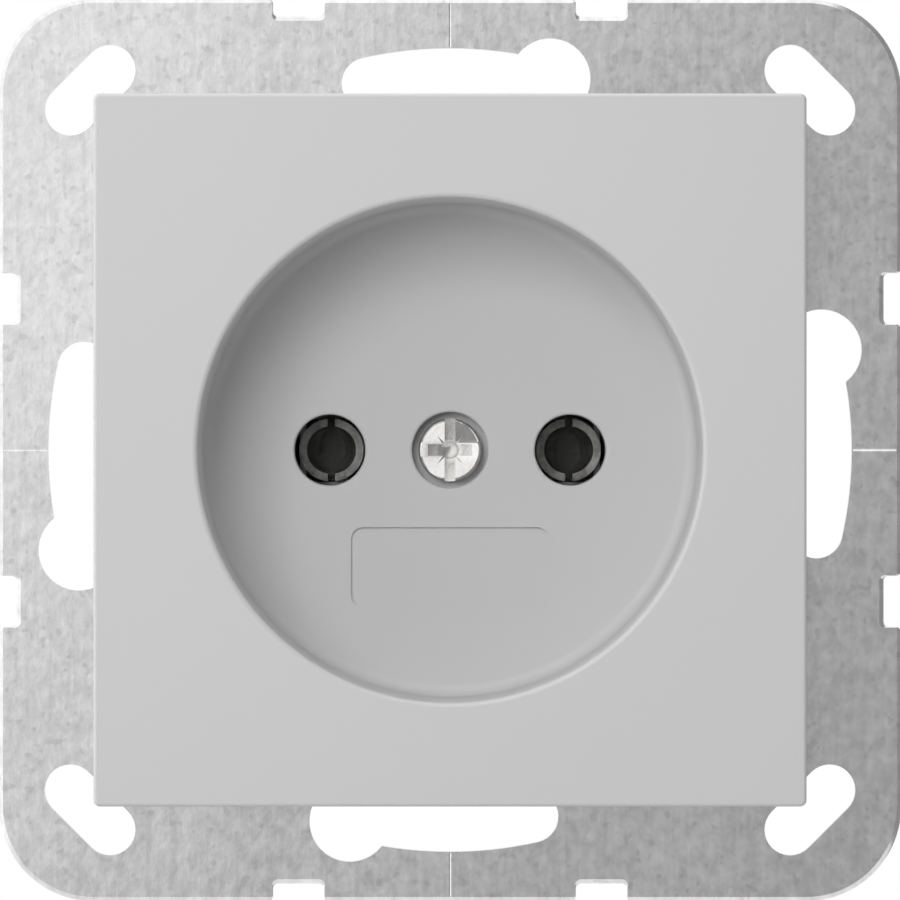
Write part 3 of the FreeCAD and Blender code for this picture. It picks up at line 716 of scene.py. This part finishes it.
class Pen:
    """Draws one closed outline across Y. Points are (u, v), u outwards and v along a side, turned about Y."""

    def __init__(self, mesh: bmesh.types.BMesh, y: float) -> None:
        """Start with the pen up.

        Args:
            mesh: the mesh that takes the edges.
            y: the outline's plane.
        """
        self.mesh = mesh
        self.y = y
        self.angle = 0.0
        self.known = set(mesh.edges)
        self.first: Optional[Vert] = None
        self.last: Optional[Vert] = None

    def turn(self, angle: float) -> "Pen":
        """Turn the pen's own axes to an angle from +X towards +Z, in degrees."""
        self.angle = math.radians(angle)
        return self

    def _at(self, u: float, v: float) -> Vector:
        """Where a point lies."""
        return Vector((u * math.cos(self.angle) - v * math.sin(self.angle), self.y,
                       u * math.sin(self.angle) + v * math.cos(self.angle)))

    def line(self, u: float, v: float) -> "Pen":
        """Draw a straight line, or put the pen down.

        Args:
            u: the line's end.
            v: the line's end.

        Returns:
            The pen.
        """
        place = self._at(u, v)
        if self.last is None:
            self.first = self.last = self.mesh.verts.new(place)
            return self
        if (self.last.co - place).length > NEAR:
            made = bmesh.ops.extrude_vert_indiv(self.mesh, verts=[self.last])
            self.last = made["verts"][0]
            self.last.co = place
        return self

    def arc(self, u: float, v: float, degrees: float, steps: int) -> "Pen":
        """Draw an arc about a middle.

        Args:
            u: the middle.
            v: the middle.
            degrees: how far it goes, from +u towards +v.
            steps: how many edges it has.

        Returns:
            The pen.
        """
        made = bmesh.ops.spin(self.mesh, geom=[self.last], cent=self._at(u, v), axis=(0, -1, 0),
                              angle=math.radians(degrees), steps=steps, use_merge=False)
        self.last = next(item for item in made["geom_last"] if isinstance(item, Vert))
        return self

    def close(self) -> Edges:
        """Join the last point to the first.

        Returns:
            The outline's edges.
        """
        if (self.last.co - self.first.co).length > LOOSE:
            self.mesh.edges.new((self.last, self.first))
        else:
            bmesh.ops.pointmerge(self.mesh, verts=[self.first, self.last], merge_co=self.first.co.copy())
        return [edge for edge in self.mesh.edges if edge not in self.known]


def quarter(middle_r: float, middle_y: float, radius: float, start: float, end: float, steps: int) -> list[Point]:
    """Points of a rounding in a turned profile.

    Args:
        middle_r: the rounding's middle, from the axis.
        middle_y: its middle along Y.
        radius: its radius.
        start: its first angle from outwards towards +Y, in degrees.
        end: its last angle.
        steps: how many edges it has.

    Returns:
        The points as (radius, y).
    """
    angles = [math.radians(start + (end - start) * step / steps) for step in range(steps + 1)]
    return [(middle_r + radius * math.cos(angle), middle_y + radius * math.sin(angle)) for angle in angles]


def settle(piece: bpy.types.Object, slot: Slot, body: str, *nodes: str) -> None:
    """Put a new piece in the place of its CAD nodes.

    Args:
        piece: the new piece.
        slot: the record's slot; not used.
        body: the CAD body that it rides on.
        nodes: the CAD nodes that it stands for.
    """
    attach(piece, body)
    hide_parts(*nodes)


# ---- sub-assemblies


@dataclass
class CoverPlate:
    """Square cover with the plug recess, in millimetres."""

    half: float = 27.5
    front: float = -11.0
    plate: float = 2.0
    skirt: float = 1.5
    skirt_back: float = -3.5
    corner: float = 0.5
    edge: float = 0.28
    recess: float = 19.5
    rim: float = 0.4
    floor: float = 4.0
    floor_round: float = 1.0
    cup: float = 21.0
    cup_back: float = 6.0
    cup_edge: float = 0.25
    pin_x: float = 9.5
    pin_hole: float = 2.8
    mouth: float = 0.22
    bore: float = 3.0
    seat: float = 5.4
    seat_r: float = 2.56
    trench: float = 5.85
    shank_hole: float = 1.45
    field_half: Point = (7.825, 3.15)
    field_drop: float = 9.25
    field_depth: float = 0.3
    field_corner: float = 0.95
    post_circle: float = 31.0
    post_end: float = -1.1
    post: float = 2.6
    post_bevel: float = 0.15
    rib: float = 1.2
    rib_root: float = 0.3
    rib_depth: float = 3.5
    rib_inset: float = 0.75
    rib_bevel: float = 0.12
    steps: int = 128
    hole_steps: int = 64
    corner_steps: int = 6
    edge_steps: int = 5
    rim_steps: int = 6
    floor_steps: int = 8
    mouth_steps: int = 4

    def outer(self, work: Workpiece) -> tuple[Edges, Edges]:
        """Outside of the plate and its skirt, and the hollow behind it.

        Args:
            work: the mesh that takes them.

        Returns:
            The rims that are left open at the front and at the plate's back.
        """
        pen = Pen(work.mesh, self.skirt_back)
        for side in SIDES:
            pen.turn(side).line(self.half, -self.half + self.corner).line(self.half, self.half - self.corner)
            pen.arc(self.half - self.corner, self.half - self.corner, 90, self.corner_steps)
        back = work.face(pen.close())
        front = work.raise_face(back, self.front + self.edge)
        front = work.rolled(front, self.edge, self.edge_steps)
        lip = work.lying(self.skirt_back)[0]
        bmesh.ops.inset_region(work.mesh, faces=[lip], use_boundary=True, use_even_offset=True,
                               thickness=self.skirt, depth=0.0)
        inside = work.wall(work.opened(lip), self.front + self.plate)
        return work.opened(front), inside

    def recess_wall(self, work: Workpiece) -> tuple[Edges, Edges]:
        """Wall of the recess between its round rim and its soft floor edge.

        Args:
            work: the mesh that takes it.

        Returns:
            The rims at the front and at the floor.
        """
        profile = quarter(self.recess + self.rim, self.front + self.rim, self.rim, -90, -180, self.rim_steps)
        profile += quarter(self.recess - self.floor_round, self.floor - self.floor_round, self.floor_round,
                           0, 90, self.floor_steps)
        return work.turned(0, 0, profile, self.steps)

    def floor_holes(self, work: Workpiece) -> tuple[list[Edges], list[Edges]]:
        """Pin holes, screw bore and the bare field.

        Args:
            work: the mesh that takes them.

        Returns:
            Their rims in the floor, and the rims of those that go through at the back.
        """
        mouths, backs = [], []
        pin = [(self.pin_hole, self.cup_back)]
        bore = [(self.bore, self.trench), (self.seat_r, self.trench), (self.seat_r, self.seat),
                (self.shank_hole, self.seat), (self.shank_hole, self.cup_back)]
        for x, radius, rest in ((-self.pin_x, self.pin_hole, pin), (self.pin_x, self.pin_hole, pin),
                                (0, self.bore, bore)):
            profile = quarter(radius + self.mouth, self.floor + self.mouth, self.mouth, -90, -180, self.mouth_steps)
            first, last = work.turned(x, 0, profile + rest, self.hole_steps)
            mouths.append(first)
            backs.append(last)
        half_w, half_h = self.field_half
        pen = Pen(work.mesh, self.floor)
        for side, (u, v) in zip(SIDES, ((half_w, half_h), (half_h, half_w)) * 2):
            pen.turn(side).line(u, -v + self.field_corner).line(u, v - self.field_corner)
            pen.arc(u - self.field_corner, v - self.field_corner, 90, self.corner_steps)
        field_edge = pen.close()
        for vert in corners(field_edge):
            vert.co.z -= self.field_drop
        mouths.append(field_edge)
        work.fill(work.wall(field_edge, self.floor + self.field_depth))
        return mouths, backs

    def stiffeners(self, work: Workpiece) -> None:
        """Diagonal ribs and corner posts behind the plate.

        Args:
            work: the mesh that takes them.
        """
        plate_back = self.front + self.plate
        rib_front, rib_back = plate_back - self.rib_root, plate_back + self.rib_depth
        start, end = self.cup - self.rib_inset, self.post_circle
        for angle in CORNERS:
            work.block((end - start, rib_back - rib_front, self.rib),
                       ((start + end) / 2, (rib_front + rib_back) / 2, 0), angle, self.rib_bevel)
            work.block((self.post, self.post_end - rib_front, self.post),
                       (self.post_circle, (self.post_end + rib_front) / 2, 0), angle, self.post_bevel)

    def build(self) -> None:
        """Make the cover and put it in its node's place."""
        work = Workpiece("cover_plate_dressed")
        front, inside = self.outer(work)
        rim, floor_edge = self.recess_wall(work)
        work.fill(front, rim)
        mouths, backs = self.floor_holes(work)
        work.fill(floor_edge, *mouths)
        profile = [(self.cup, self.front + self.plate), (self.cup, self.cup_back - self.cup_edge),
                   (self.cup - self.cup_edge, self.cup_back)]
        cup_front, cup_end = work.turned(0, 0, profile, self.steps)
        work.fill(inside, cup_front)
        work.fill(cup_end, *backs)
        self.stiffeners(work)
        settle(work.finished(COVER_GREY.material()), Slot.COVER, "socket", "cover_plate")


@dataclass
class MountingFrame:
    """Stamped sheet frame with its slots, notches and scribed marks, in millimetres."""

    half: float = 35.4
    thick: float = 1.0
    corner: float = 7.5
    roll: float = 0.36
    notch_offset: float = 11.87
    notch_half: float = 2.0
    notch_depth: float = 1.4
    notch_round: float = 0.4
    notch_side: float = 0.12
    notch_blend: float = 1.0
    slot_inner: float = 27.4
    slot_outer: float = 31.5
    end_angle: float = 12.65
    key_angle: float = 15.1
    key_r: float = 3.17
    key_circle: float = 30.15
    corner_circle: float = 39.9
    corner_half: float = 2.185
    corner_r: float = 2.02
    mark_half: float = 0.09
    mark_depth: float = 0.045
    mark_floor: float = 0.06
    mark_gap: Point = (0.08, 0.05)
    opening: float = 22.4
    rivet: Point = (17.32, 17.32)
    rivet_hole: float = 1.15
    claw_x: float = 24.9
    claw_hole: float = 1.65
    crease: float = 20.0
    roll_steps: int = 2
    notch_steps: int = 5
    corner_steps: int = 20
    arc_steps: int = 14
    key_steps: int = 28
    end_steps: int = 16
    hole_steps: int = 32
    opening_steps: int = 128

    def rolls(self, place: Vector, step: Vector) -> float:
        """Share of the rolled edge at a place: all of it, but hardly any on the sides of the notches.

        Args:
            place: a point of the rim.
            step: its step inwards.

        Returns:
            The share, up to 1.
        """
        if min(abs(place.x), abs(place.z)) > self.notch_offset + self.notch_half + self.notch_blend:
            return 1.0
        outward = step.x if abs(place.x) > abs(place.z) else step.z
        return max(abs(outward) / max(step.length, NEAR), self.notch_side)

    def outer(self, work: Workpiece) -> tuple[Edges, Edges]:
        """Outer contour, wall and rolled front edge.

        Args:
            work: the mesh that takes them.

        Returns:
            The rims that are left open at the front and at the back.
        """
        pen = Pen(work.mesh, 0.0)
        straight = self.half - self.corner
        deep = self.half - self.notch_depth
        soft = self.notch_round
        for side in SIDES:
            pen.turn(side).line(self.half, -straight)
            for offset in (-self.notch_offset, self.notch_offset):
                low, high = offset - self.notch_half, offset + self.notch_half
                pen.line(self.half, low - soft).arc(self.half - soft, low - soft, 90, self.notch_steps)
                pen.line(deep + soft, low).arc(deep + soft, low + soft, -90, self.notch_steps)
                pen.line(deep, high - soft).arc(deep + soft, high - soft, -90, self.notch_steps)
                pen.line(self.half - soft, high).arc(self.half - soft, high + soft, 90, self.notch_steps)
            pen.line(self.half, straight).arc(straight, straight, 90, self.corner_steps)
        back = work.face(pen.close())
        front = work.raise_face(back, -self.thick + self.roll)
        front = work.rolled(front, self.roll, self.roll_steps, self.rolls)
        return work.opened(front), work.opened(work.lying(0.0)[0])

    def arc_slot(self, work: Workpiece, side: float, way: int) -> Edges:
        """One slot on an arc with its round opening.

        Args:
            work: the mesh that takes it.
            side: the middle of its side, in degrees.
            way: 1 where the round opening lies towards larger angles, and -1 where it doesn't.

        Returns:
            Its outline.
        """
        def meet(radius: float) -> float:
            """Angle between the round opening's middle and where it meets an arc, in degrees."""
            share = (radius ** 2 + self.key_circle ** 2 - self.key_r ** 2) / (2 * radius * self.key_circle)
            return math.degrees(math.acos(share))

        def seen(radius: float, angle: float) -> float:
            """Direction of a point on an arc from the round opening's middle, in degrees."""
            turn = math.radians(angle)
            return math.degrees(math.atan2(radius * math.sin(turn), radius * math.cos(turn) - self.key_circle))

        span = self.key_angle + self.end_angle
        middle = (self.slot_inner + self.slot_outer) / 2
        outer_turn = span - meet(self.slot_outer)
        inner_turn = span - meet(self.slot_inner)
        sweep = (seen(self.slot_inner, -way * meet(self.slot_inner))
                 - seen(self.slot_outer, -way * meet(self.slot_outer))) * way % 360
        pen = Pen(work.mesh, -self.thick).turn(side - way * self.end_angle)
        pen.line(self.slot_outer, 0).arc(0, 0, way * outer_turn, self.arc_steps)
        pen.turn(side + way * self.key_angle).arc(self.key_circle, 0, way * sweep, self.key_steps)
        pen.arc(0, 0, -way * inner_turn, self.arc_steps)
        pen.turn(side - way * self.end_angle).arc(middle, 0, way * 180, self.end_steps)
        return pen.close()

    def corner_slot(self, work: Workpiece, angle: float) -> Edges:
        """One slanting slot near a corner.

        Args:
            work: the mesh that takes it.
            angle: the corner's direction, in degrees.

        Returns:
            Its outline.
        """
        pen = Pen(work.mesh, -self.thick).turn(angle)
        far, near = self.corner_circle + self.corner_r, self.corner_circle - self.corner_r
        pen.line(far, -self.corner_half).line(far, self.corner_half)
        pen.arc(self.corner_circle, self.corner_half, 180, self.end_steps).line(near, -self.corner_half)
        pen.arc(self.corner_circle, -self.corner_half, 180, self.end_steps)
        return pen.close()

    def marks(self, work: Workpiece) -> list[Edges]:
        """Fine scribed line in the middle of each side.

        Args:
            work: the mesh that takes them.

        Returns:
            Their outlines in the front.
        """
        outlines = []
        start, end = self.slot_outer + self.mark_gap[0], self.half - self.roll - self.mark_gap[1]
        for side in SIDES:
            pen = Pen(work.mesh, -self.thick).turn(side)
            pen.line(start, -self.mark_half).line(end, -self.mark_half)
            pen.line(end, self.mark_half).line(start, self.mark_half)
            outlines.append(pen.close())
            bottom = work.wall(outlines[-1], -self.thick + self.mark_depth)
            for vert in corners(bottom):
                across = "x" if abs(vert.co.x) < abs(vert.co.z) else "z"
                setattr(vert.co, across, getattr(vert.co, across) * self.mark_floor)
            work.face(bottom)
        return outlines

    def build(self) -> None:
        """Make the frame and put it in its node's place."""
        work = Workpiece("mounting_frame_dressed")
        front, rear = self.outer(work)
        holes = [self.arc_slot(work, side, way) for side, way in zip(SIDES, (1, -1, 1, -1))]
        holes += [self.corner_slot(work, angle) for angle in CORNERS]
        holes.append(work.circle(0, 0, -self.thick, self.opening, self.opening_steps))
        x, z = self.rivet
        for sign in (1, -1):
            holes.append(work.circle(sign * x, sign * z, -self.thick, self.rivet_hole, self.hole_steps))
            holes.append(work.circle(sign * self.claw_x, 0, -self.thick, self.claw_hole, self.hole_steps))
        backs = [work.wall(edges, 0.0) for edges in holes]
        work.fill(front, *holes, *self.marks(work))
        work.fill(rear, *backs)
        settle(work.finished(FRAME_ZINC.material(), self.crease), Slot.FRAME, "socket", "mounting_frame")


@dataclass
class CoverScrew:
    """Slot and cross screw in the middle of the recess, in millimetres."""

    face: float = 4.3
    head_r: float = 2.5
    head_round: float = 0.25
    head_back: float = 5.4
    slot_half: float = 0.425
    cross_half: float = 0.45
    cross_reach: float = 1.75
    cross_depth: float = 0.9
    split: float = 0.62
    tick: Point = (1.02, 1.12)
    tick_root: float = 0.13
    pit_r: float = 0.78
    pit_depth: float = 0.24
    bowl_middle: float = 5.08
    bowl_rim: float = 4.88
    bowl_gap: float = 0.02
    shank_r: float = 1.2
    shank_end: float = 18.4
    shank_bevel: float = 0.4
    crease: float = 30.0
    head_steps: int = 40
    round_steps: int = 4
    bowl_steps: int = 6
    turn_steps: int = 64
    tilts: dict[tuple[int, int], Point] = field(default_factory=lambda: {
        (1, 1): (0.16, 0.0), (1, -1): (-0.04, -0.03), (-1, 1): (0.04, 0.03), (-1, -1): (0.04, -0.03)})

    def half_head(self, work: Workpiece, side: int) -> None:
        """The part of the head on one side of the slot, with its two quarters tilted by the stamping.

        Args:
            work: the mesh that takes it.
            side: 1 for the right half and -1 for the left one.
        """
        slot, cross, root = self.slot_half, self.cross_half, self.tick_root
        start = math.degrees(math.asin(slot / self.head_r))
        top = math.sqrt(self.head_r ** 2 - slot ** 2)
        pen = Pen(work.mesh, self.face + self.cross_depth).turn(0 if side > 0 else 180)
        pen.line(slot, -top).arc(0, 0, 180 - 2 * start, self.head_steps)
        pen.line(slot, cross + root).line(*self.tick).line(slot + root, cross)
        pen.line(self.cross_reach, cross).line(self.cross_reach, -cross)
        pen.line(slot + root, -cross).line(self.tick[0], -self.tick[1]).line(slot, -cross - root)
        face = work.raise_face(work.face(pen.close()), self.face)
        round_edges = [edge for edge in face.edges
                       if all(abs(math.hypot(vert.co.x, vert.co.z) - self.head_r) < LOOSE for vert in edge.verts)]
        bmesh.ops.bevel(work.mesh, geom=round_edges, offset=self.head_round, offset_type="OFFSET",
                        affect="EDGES", segments=self.round_steps, profile=0.5, material=-1)
        for height in (self.split, -self.split):
            tops = [item for item in work.lying(self.face) if all(vert.co.x * side > 0 for vert in item.verts)]
            parts = tops + list({edge for item in tops for edge in item.edges})
            parts += list({vert for item in tops for vert in item.verts})
            bmesh.ops.bisect_plane(work.mesh, geom=parts, dist=NEAR, plane_co=(0, 0, height), plane_no=(0, 0, 1))
        for vert in work.mesh.verts:
            x, z = vert.co.x * side - slot, abs(vert.co.z) - self.split
            if abs(vert.co.y - self.face) < NEAR and x > -NEAR and z > -NEAR:
                along, up = self.tilts[(side, 1 if vert.co.z > 0 else -1)]
                vert.co.y += max(x, 0.0) * along + max(z, 0.0) * up

    def build(self) -> None:
        """Make the screw and put it in its node's place."""
        work = Workpiece("cover_screw_dressed")
        self.half_head(work, 1)
        self.half_head(work, -1)
        inner = self.head_r - self.bowl_gap
        steps = [step / self.bowl_steps for step in range(self.bowl_steps + 1)]
        profile = [(self.pit_r * step, self.bowl_middle + self.pit_depth * (1 - step ** 2)) for step in steps[:-1]]
        profile += [(self.pit_r + (inner - self.pit_r) * step,
                     self.bowl_middle + (self.bowl_rim - self.bowl_middle) * step ** 2) for step in steps]
        profile += [(inner, self.head_back), (self.shank_r, self.head_back),
                    (self.shank_r, self.shank_end - self.shank_bevel),
                    (self.shank_r - self.shank_bevel, self.shank_end), (0.0, self.shank_end)]
        work.turned(0, 0, profile, self.turn_steps)
        settle(work.finished(SCREW_NICKEL.material(), self.crease), Slot.SCREW, "socket", "cover_screw")


@dataclass
class InnerParts:
    """The CAD nodes that keep their shape and get a finish."""

    finishes: dict[Slot, Callable[[], Material]] = field(default_factory=lambda: {
        Slot.INSERT: INSERT_BRASS.material,
        Slot.STEEL: STEEL_ZINC.material,
        Slot.BASE: BASE_BLACK.material,
        Slot.CONTACT: CONTACT_NICKEL.material,
        Slot.SPRING: SPRING_STEEL.material,
        Slot.RELEASE: RELEASE_WHITE.material,
    })

    def dress(self, nodes: dict[str, bpy.types.Object], record: dict) -> None:
        """Give each shown node its finish.

        Args:
            nodes: the CAD nodes by name.
            record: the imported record, which names each node's slot.
        """
        made = {slot.value: make() for slot, make in self.finishes.items()}
        for part in record["subparts"]:
            node = nodes[part["node"]]
            if node.hide_render or part["material_slot"] not in made:
                continue
            for held in node.material_slots:
                held.material = made[part["material_slot"]]
            LOG.info("%s: dressed in %s", part["node"], part["material_slot"])


# ---- studio


@dataclass
class Lamp:
    """One soft panel that looks at the object, in metres."""

    name: str
    place: Triple
    size: float
    power: float
    in_metal: bool = True

    def build(self) -> None:
        """Make the lamp."""
        light = bpy.data.lights.new(self.name, "AREA")
        light.shape = "SQUARE"
        light.size = self.size
        light.energy = self.power
        lamp = placed(self.name, light)
        lamp.location = self.place
        lamp.rotation_euler = (-Vector(self.place)).to_track_quat("-Z", "Y").to_euler()
        lamp.visible_camera = False
        lamp.visible_glossy = self.in_metal


@dataclass
class Studio:
    """Plain pale floor and backdrop, soft light from the upper left and the camera, in metres."""

    camera_y: float = -0.611
    lens: float = 311.3
    sensor: float = 36.0
    clip: Point = (0.01, 10.0)
    floor_z: float = -0.45
    floor_half: float = 0.9
    backdrop_y: float = 1.6
    backdrop_half: float = 0.6
    paper: Colour = (0.8, 0.8, 0.8)
    lit_side: Triple = (-0.90, 0.0, 0.44)
    soft: Point = (0.42, 0.62)
    soft_step: Point = (-0.75, 0.75)
    mirrored: Triple = (0.34, 0.42, 1.30)
    mirrored_steps: tuple[Point, Point] = ((-0.24, -0.08), (-0.02, 0.10))
    front_shade: float = 0.7
    front_step: Point = (0.55, 0.95)
    lamps: tuple[Lamp, ...] = (
        Lamp("key", (-0.09, -0.335, 0.09), 0.17, 0.64, False),
        Lamp("left", (-0.60, -0.03, 0.05), 0.4, 1.1),
        Lamp("top", (-0.05, -0.03, 0.60), 0.4, 1.1),
    )

    def sheet_material(self, name: str) -> Material:
        """Pale sheet that looks white to the camera and in metal, and still takes a shadow.

        Args:
            name: the material's name.

        Returns:
            The material.
        """
        graph = Graph(bpy.data.materials.new(name))
        paper = graph.node("ShaderNodeBsdfDiffuse", {}, {"Color": (*self.paper, 1.0)})
        glow = graph.node("ShaderNodeEmission", {}, {"Color": WHITE, "Strength": 1.0})
        graph.either(graph.rays("Camera", "Glossy", "Transmission"), paper, glow)
        return graph.owner

    def sheets(self) -> None:
        """Make the floor and the backdrop."""
        upright = Matrix.Translation((0, self.backdrop_y, 0)) @ Matrix.Rotation(math.pi / 2, 4, "X")
        for name, half, place in (("floor", self.floor_half, Matrix.Translation((0, 0, self.floor_z))),
                                  ("backdrop", self.backdrop_half, upright)):
            mesh = bmesh.new()
            bmesh.ops.create_grid(mesh, x_segments=1, y_segments=1, size=half, matrix=place)
            sheet = placed_mesh(name, mesh, self.sheet_material(name))

    def surroundings(self) -> None:
        """Soft light, strongest from the upper left and dimmest round the camera, and white to the camera itself."""
        world = bpy.data.worlds.new("studio")
        bpy.context.scene.world = world
        graph = Graph(world)
        side = graph.toward(self.lit_side)
        open_share = 1.0 - graph.toward((0.0, -1.0, 0.0)).between(*self.front_step) * self.front_shade
        glossy = graph.rays("Glossy")
        soft = self.soft[0] + side.between(*self.soft_step) * (self.soft[1] - self.soft[0])
        low, middle, high = self.mirrored
        first, second = (side.between(*step) for step in self.mirrored_steps)
        mirrored = low + first * (middle - low) + second * (high - middle)
        light = graph.node("ShaderNodeBackground", {},
                           {"Color": WHITE, "Strength": soft * open_share * (1.0 - glossy) + mirrored * glossy})
        white = graph.node("ShaderNodeBackground", {}, {"Color": WHITE, "Strength": 1.0})
        graph.either(graph.rays("Camera", "Transmission"), light, white)

    def build(self) -> None:
        """Set the scene up."""
        self.sheets()
        self.surroundings()
        for lamp in self.lamps:
            lamp.build()
        data = bpy.data.cameras.new("camera")
        data.lens = self.lens
        data.sensor_width = self.sensor
        data.clip_start, data.clip_end = self.clip
        camera = placed("camera", data)
        camera.location = (0.0, self.camera_y, 0.0)
        camera.rotation_euler = (math.pi / 2, 0.0, 0.0)
        scene = bpy.context.scene
        scene.camera = camera
        scene.view_settings.view_transform = "Standard"


def main() -> None:
    """Build the classes in order."""
    logging.basicConfig(level=logging.INFO, format="%(name)s: %(message)s")
    for part in (CoverPlate(), MountingFrame(), CoverScrew()):
        part.build()
        LOG.info("%s built", type(part).__name__)
    InnerParts().dress(frame["nodes"], frame["record"])
    Studio().build()


if __name__ == "__main__":
    main()
